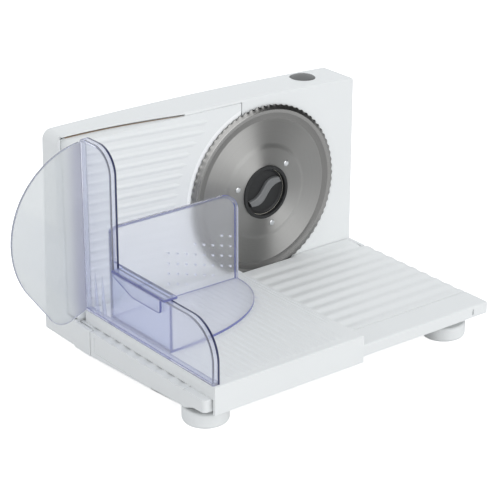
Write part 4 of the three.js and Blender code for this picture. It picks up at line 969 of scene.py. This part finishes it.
# %% Food pusher
PUSH_L, PUSH_R, PUSH_TOP = GUARD_X + 9.5, CAR_R - 15, CAR_TOP + 88
ahead, back, base, crest = -35, -32.5, CAR_TOP + 0.6, GUARD_LOW + 2.6
floor_top, wall_right, end = base + 2.6, PUSH_L + 2.5, back - 91


def pusher_outline(d, e):
    """The upright plate from the front, drawn in by d along the top and left and by e along the right."""
    return chain([PUSH_L + d, base + d], [PUSH_R - e, base + d],
                 arc(PUSH_R - 17, PUSH_TOP - 17, 17 - np.linspace(e, d, 21), 0, 90, 20),
                 arc(PUSH_L + 6, PUSH_TOP - 6, 6 - d, 90, 180, 8))


pusher = slab("pusher", pusher_outline(0, 0), "y", ahead, back)
rim = slab("rim", pusher_outline(0, 0), "y", ahead - 1.2, ahead + 1)
carve(rim, slab("field", pusher_outline(2.0, 3.4), "y", ahead - 2.2, ahead + 2))
s = np.linspace(0, np.pi / 2, 49)
reach = PUSH_R - 0.8 - PUSH_L
sweep = np.column_stack([PUSH_L + reach * np.maximum(np.cos(s), 0) ** 0.86,
                         ahead - (ahead - end) * np.sin(s) ** 0.92])
deck = slab("deck", chain([PUSH_L, ahead + 1], [PUSH_L + reach, ahead + 1], sweep), "z", base, base + 2.4)
wall = brick("wall", PUSH_L, PUSH_L + 2.3, end, back, base, crest)
flap_x = GUARD_X - 2.6
saddle = brick("saddle", flap_x, PUSH_L + 2.3, end - 6.5, GUARD_BACK - 48.2, crest - 2.3, crest)
outline = chain([end + 70.5, crest - 0.6], [end + 70.5, crest - 5], [end + 41.5, crest - 15],
                arc(end + 2.5, crest - 12, 3, 270, 180, 6), [end - 0.5, crest - 0.6])
flap = slab("flap", outline, "x", flap_x, flap_x + 2.2)
weld(pusher, rim, deck, wall, saddle, flap)
soften(pusher, 0.4, slivers=True)
column, row = np.divmod(np.arange(32), 4)
rise = (5 + 3 * column) % 10 + 10 * row
spike = [[0, back - 0.1], [1.2, back - 0.1], [0.75, back + 1.6], [0.15, back + 3.3], [0, back + 3.3]]
spikes = [turned("spike", spike, (PUSH_R - 7 - 10 * c, CAR_TOP + 10.5 + q), n=10)
          for c, q in zip(column, rise)]
weld(pusher, gather("spikes", spikes))
dress(pusher, CLEAR, "pusher", "clear_styrene", "food_pusher")
(fx, fy, fz), (nx, ny, nz), width = faces_of(pusher)
flat = (np.abs(ny) > 0.97) & (np.abs(np.abs(fy - (ahead + back) / 2) - 1.25) < 0.05)
ridge = (fy < ahead - 0.1) & (fy > ahead - 1.3) & (fz > floor_top) & (fx > wall_right)
# Painted light and shade: a lighter tint on the deck and a deeper violet on the saddle side.
refinish(pusher, (np.abs(nz) > 0.9) & (fz < floor_top) & (fy < ahead - 1.3), DECK_PAINTED_LIGHT)
refinish(pusher, fx < wall_right, SADDLE_PAINTED_SHADE)
refinish(pusher, fx < GUARD_X - 0.2, SCREEN)
# Painted light and shade: violet tints on the pusher's edges and the rim's front.
refinish(pusher, (width < 2.6) & (fy < back + 0.05) & ~flat, EDGE_PAINTED_TINT)
refinish(pusher, ridge & (ny < -0.9), RIM_PAINTED_TINT)
# Painted highlights: white on the ridge's underside, the right edge and the spikes.
refinish(pusher, ridge & (nz < -0.5), WHITE_PAINTED_HIGHLIGHT)
refinish(pusher, (fx > PUSH_R - 0.5) & (fz > floor_top) & (nx > 0.2), WHITE_PAINTED_HIGHLIGHT)
refinish(pusher, fy > back + 0.05, WHITE_PAINTED_HIGHLIGHT)

# %% [markdown]
# The dark knob sets the slice, and has flutes for the fingers and a mark cut in its face.
# The cord's gland and six cross-slotted screws complete the back.

# %% Knob, gland and screws at the back
KNOB_SEAT = back_y(KNOB[1])
KNOB_FRONT, KNOB_BACK = KNOB_SEAT + 1.3, KNOB_SEAT + 1.3 + 13.3


def grips(r, h, a):
    """Sixteen flutes round the knob, cut only into its outer wall."""
    flute = np.clip(np.cos(16 * a) * 1.6, -1, 1) * 0.5 - 0.5
    return r + 0.8 * flute * (r > 17.5), h


profile = fillet([[5.1, KNOB_FRONT], [19.4, KNOB_FRONT], [19.4, KNOB_BACK - 1.5], [17.0, KNOB_BACK - 1.5],
                  [17.0, KNOB_BACK], [0, KNOB_BACK], [0, KNOB_SEAT + 11.2], [5.1, KNOB_SEAT + 11.2]], 0.5)
knob = turned("setting_knob", profile, KNOB, n=192, loop=True, shape=grips)
carve(knob, brick("mark", KNOB[0] + 11, KNOB[0] + 16, KNOB_BACK - 0.9, KNOB_BACK + 6,
                  KNOB[1] - 0.9, KNOB[1] + 0.9))
dress(knob, DARK, "dial", "dark_grey_plastic", "thickness_knob")

profile = np.array([[0, -8], [5, -8], [5, 0.4], [8, 0.4], [7, 5], [5, 9], [3.6, 9], [3.4, 6], [0, 6]])
profile = fillet(profile + [0, back_y(GLAND[1])], 0.5, closed=False)
dress(turned("gland", profile, GLAND, n=64), DARK, "machine", "dark_grey_plastic", "cord_gland")

for i, (x, z) in enumerate(SCREWS):
    seat = back_y(z) - 1.78
    profile = fillet([[0, seat - 6], [1.15, seat - 6], [1.15, seat], [3.2, seat], [3.2, seat + 1.2],
                      [2.4, seat + 1.6], [0, seat + 1.6]], 0.25, closed=False)
    screw = turned(f"screw_{i + 1}", profile, (x, z), n=40)
    carve(screw, brick("slot", x - 1.7, x + 1.7, seat + 0.7, seat + 3, z - 0.3, z + 0.3),
          brick("slot", x - 0.3, x + 0.3, seat + 0.7, seat + 3, z - 1.7, z + 1.7))
    dress(screw, ZINC, "machine", "zinc_steel", f"cover_screw_{i + 1}")

# %% [markdown]
# The picture has a white ground with hardly a shadow, and soft light from the front, a little to the right.
# One broad lamp and a grey sky give that: front faces bright, the top a little less, the left in half-tone.
# The floor looks white to the eye, glows less in reflections, and still takes a faint shadow.
# Reflections see a bright room with one dark quarter at the front right, which parts the blade's bow-tie.

# %% Light and floor
SKY, SEEN, ROOM, DARK_QUARTER = 0.725, 1.03, 1.3, 0.03
FAR, LOW = 6000, -0.2
scene = bpy.context.scene
scene.view_settings.view_transform = "Standard"
floor = form("floor", lift(corners(-FAR, FAR, -FAR, FAR), "z", LOW), [[0, 1, 2, 3]])
ground, tree, shader = start("studio_white")
put(shader, Base_Color=(0.88, 0.88, 0.88, 1), Roughness=0.9, Emission_Color=(1, 1, 1, 1))
path = add(tree, "LightPath")
mirrored = calc(tree, "MAXIMUM", path["Is Glossy Ray"], path["Is Transmission Ray"])
faint = calc(tree, "MULTIPLY", mirrored, 0.3)
glow = calc(tree, "MULTIPLY_ADD", path["Is Camera Ray"], 0.8, faint)
tree.links.new(glow, shader["Emission Strength"])
floor.data.materials.append(ground)

world = bpy.data.worlds.new("studio")
scene.world = world
world.use_nodes = True
tree = world.node_tree
sky = tree.nodes["Background"].inputs
way = add(tree, "TexCoord")["Generated"]
sides = []
for direction, low, high in (((0.985, 0, 0.174), 0.47, 0.54), ((0, -1, 0), -0.15, 0.15)):
    facing = add(tree, "VectorMath", {0: way, 1: direction}, operation="DOT_PRODUCT")["Value"]
    sides += [smooth(tree, facing, low, high)]
shade = calc(tree, "MULTIPLY", *sides)
panel = add(tree, "MapRange", {0: shade, 3: ROOM, 4: DARK_QUARTER})[0]
path = add(tree, "LightPath")
seen = calc(tree, "MAXIMUM", path["Is Camera Ray"], path["Is Transmission Ray"])
level = add(tree, "MapRange", {0: seen, 3: SKY, 4: SEEN})[0]
strength = add(tree, "Mix", {0: path["Is Glossy Ray"], 2: level, 3: panel})[0]
sky["Color"].default_value = (0.975, 0.998, 1.02, 1)
tree.links.new(strength, sky["Strength"])

lamp = bpy.data.lights.new("key", "SUN")
lamp.energy = 0.86
lamp.angle = radians(50)
key = place("key", lamp)
key.rotation_euler = Vector((0.08, -0.88, 0.47)).to_track_quat("Z", "Y").to_euler()
print("key", lamp.energy, "sky", SKY)

# %% [markdown]
# A long lens at the front left and a little above, placed by the machine's straight edges.

# %% Camera
eye = (np.array([-1022.8, -1297.3, 752.4]) + SHIFT) / 1000
aim = (np.array([-55.41, -40.0, 58.31]) + SHIFT) / 1000
lens = bpy.data.cameras.new("camera")
lens.lens, lens.sensor_width = 134.59, 36.0
lens.shift_x, lens.shift_y = 0.0136, 0.0349
camera = place("camera", lens)
camera.location = eye
camera.rotation_euler = Vector((aim - eye).tolist()).to_track_quat("-Z", "Y").to_euler()
scene.camera = camera
print("camera", eye.round(3), "lens", lens.lens)
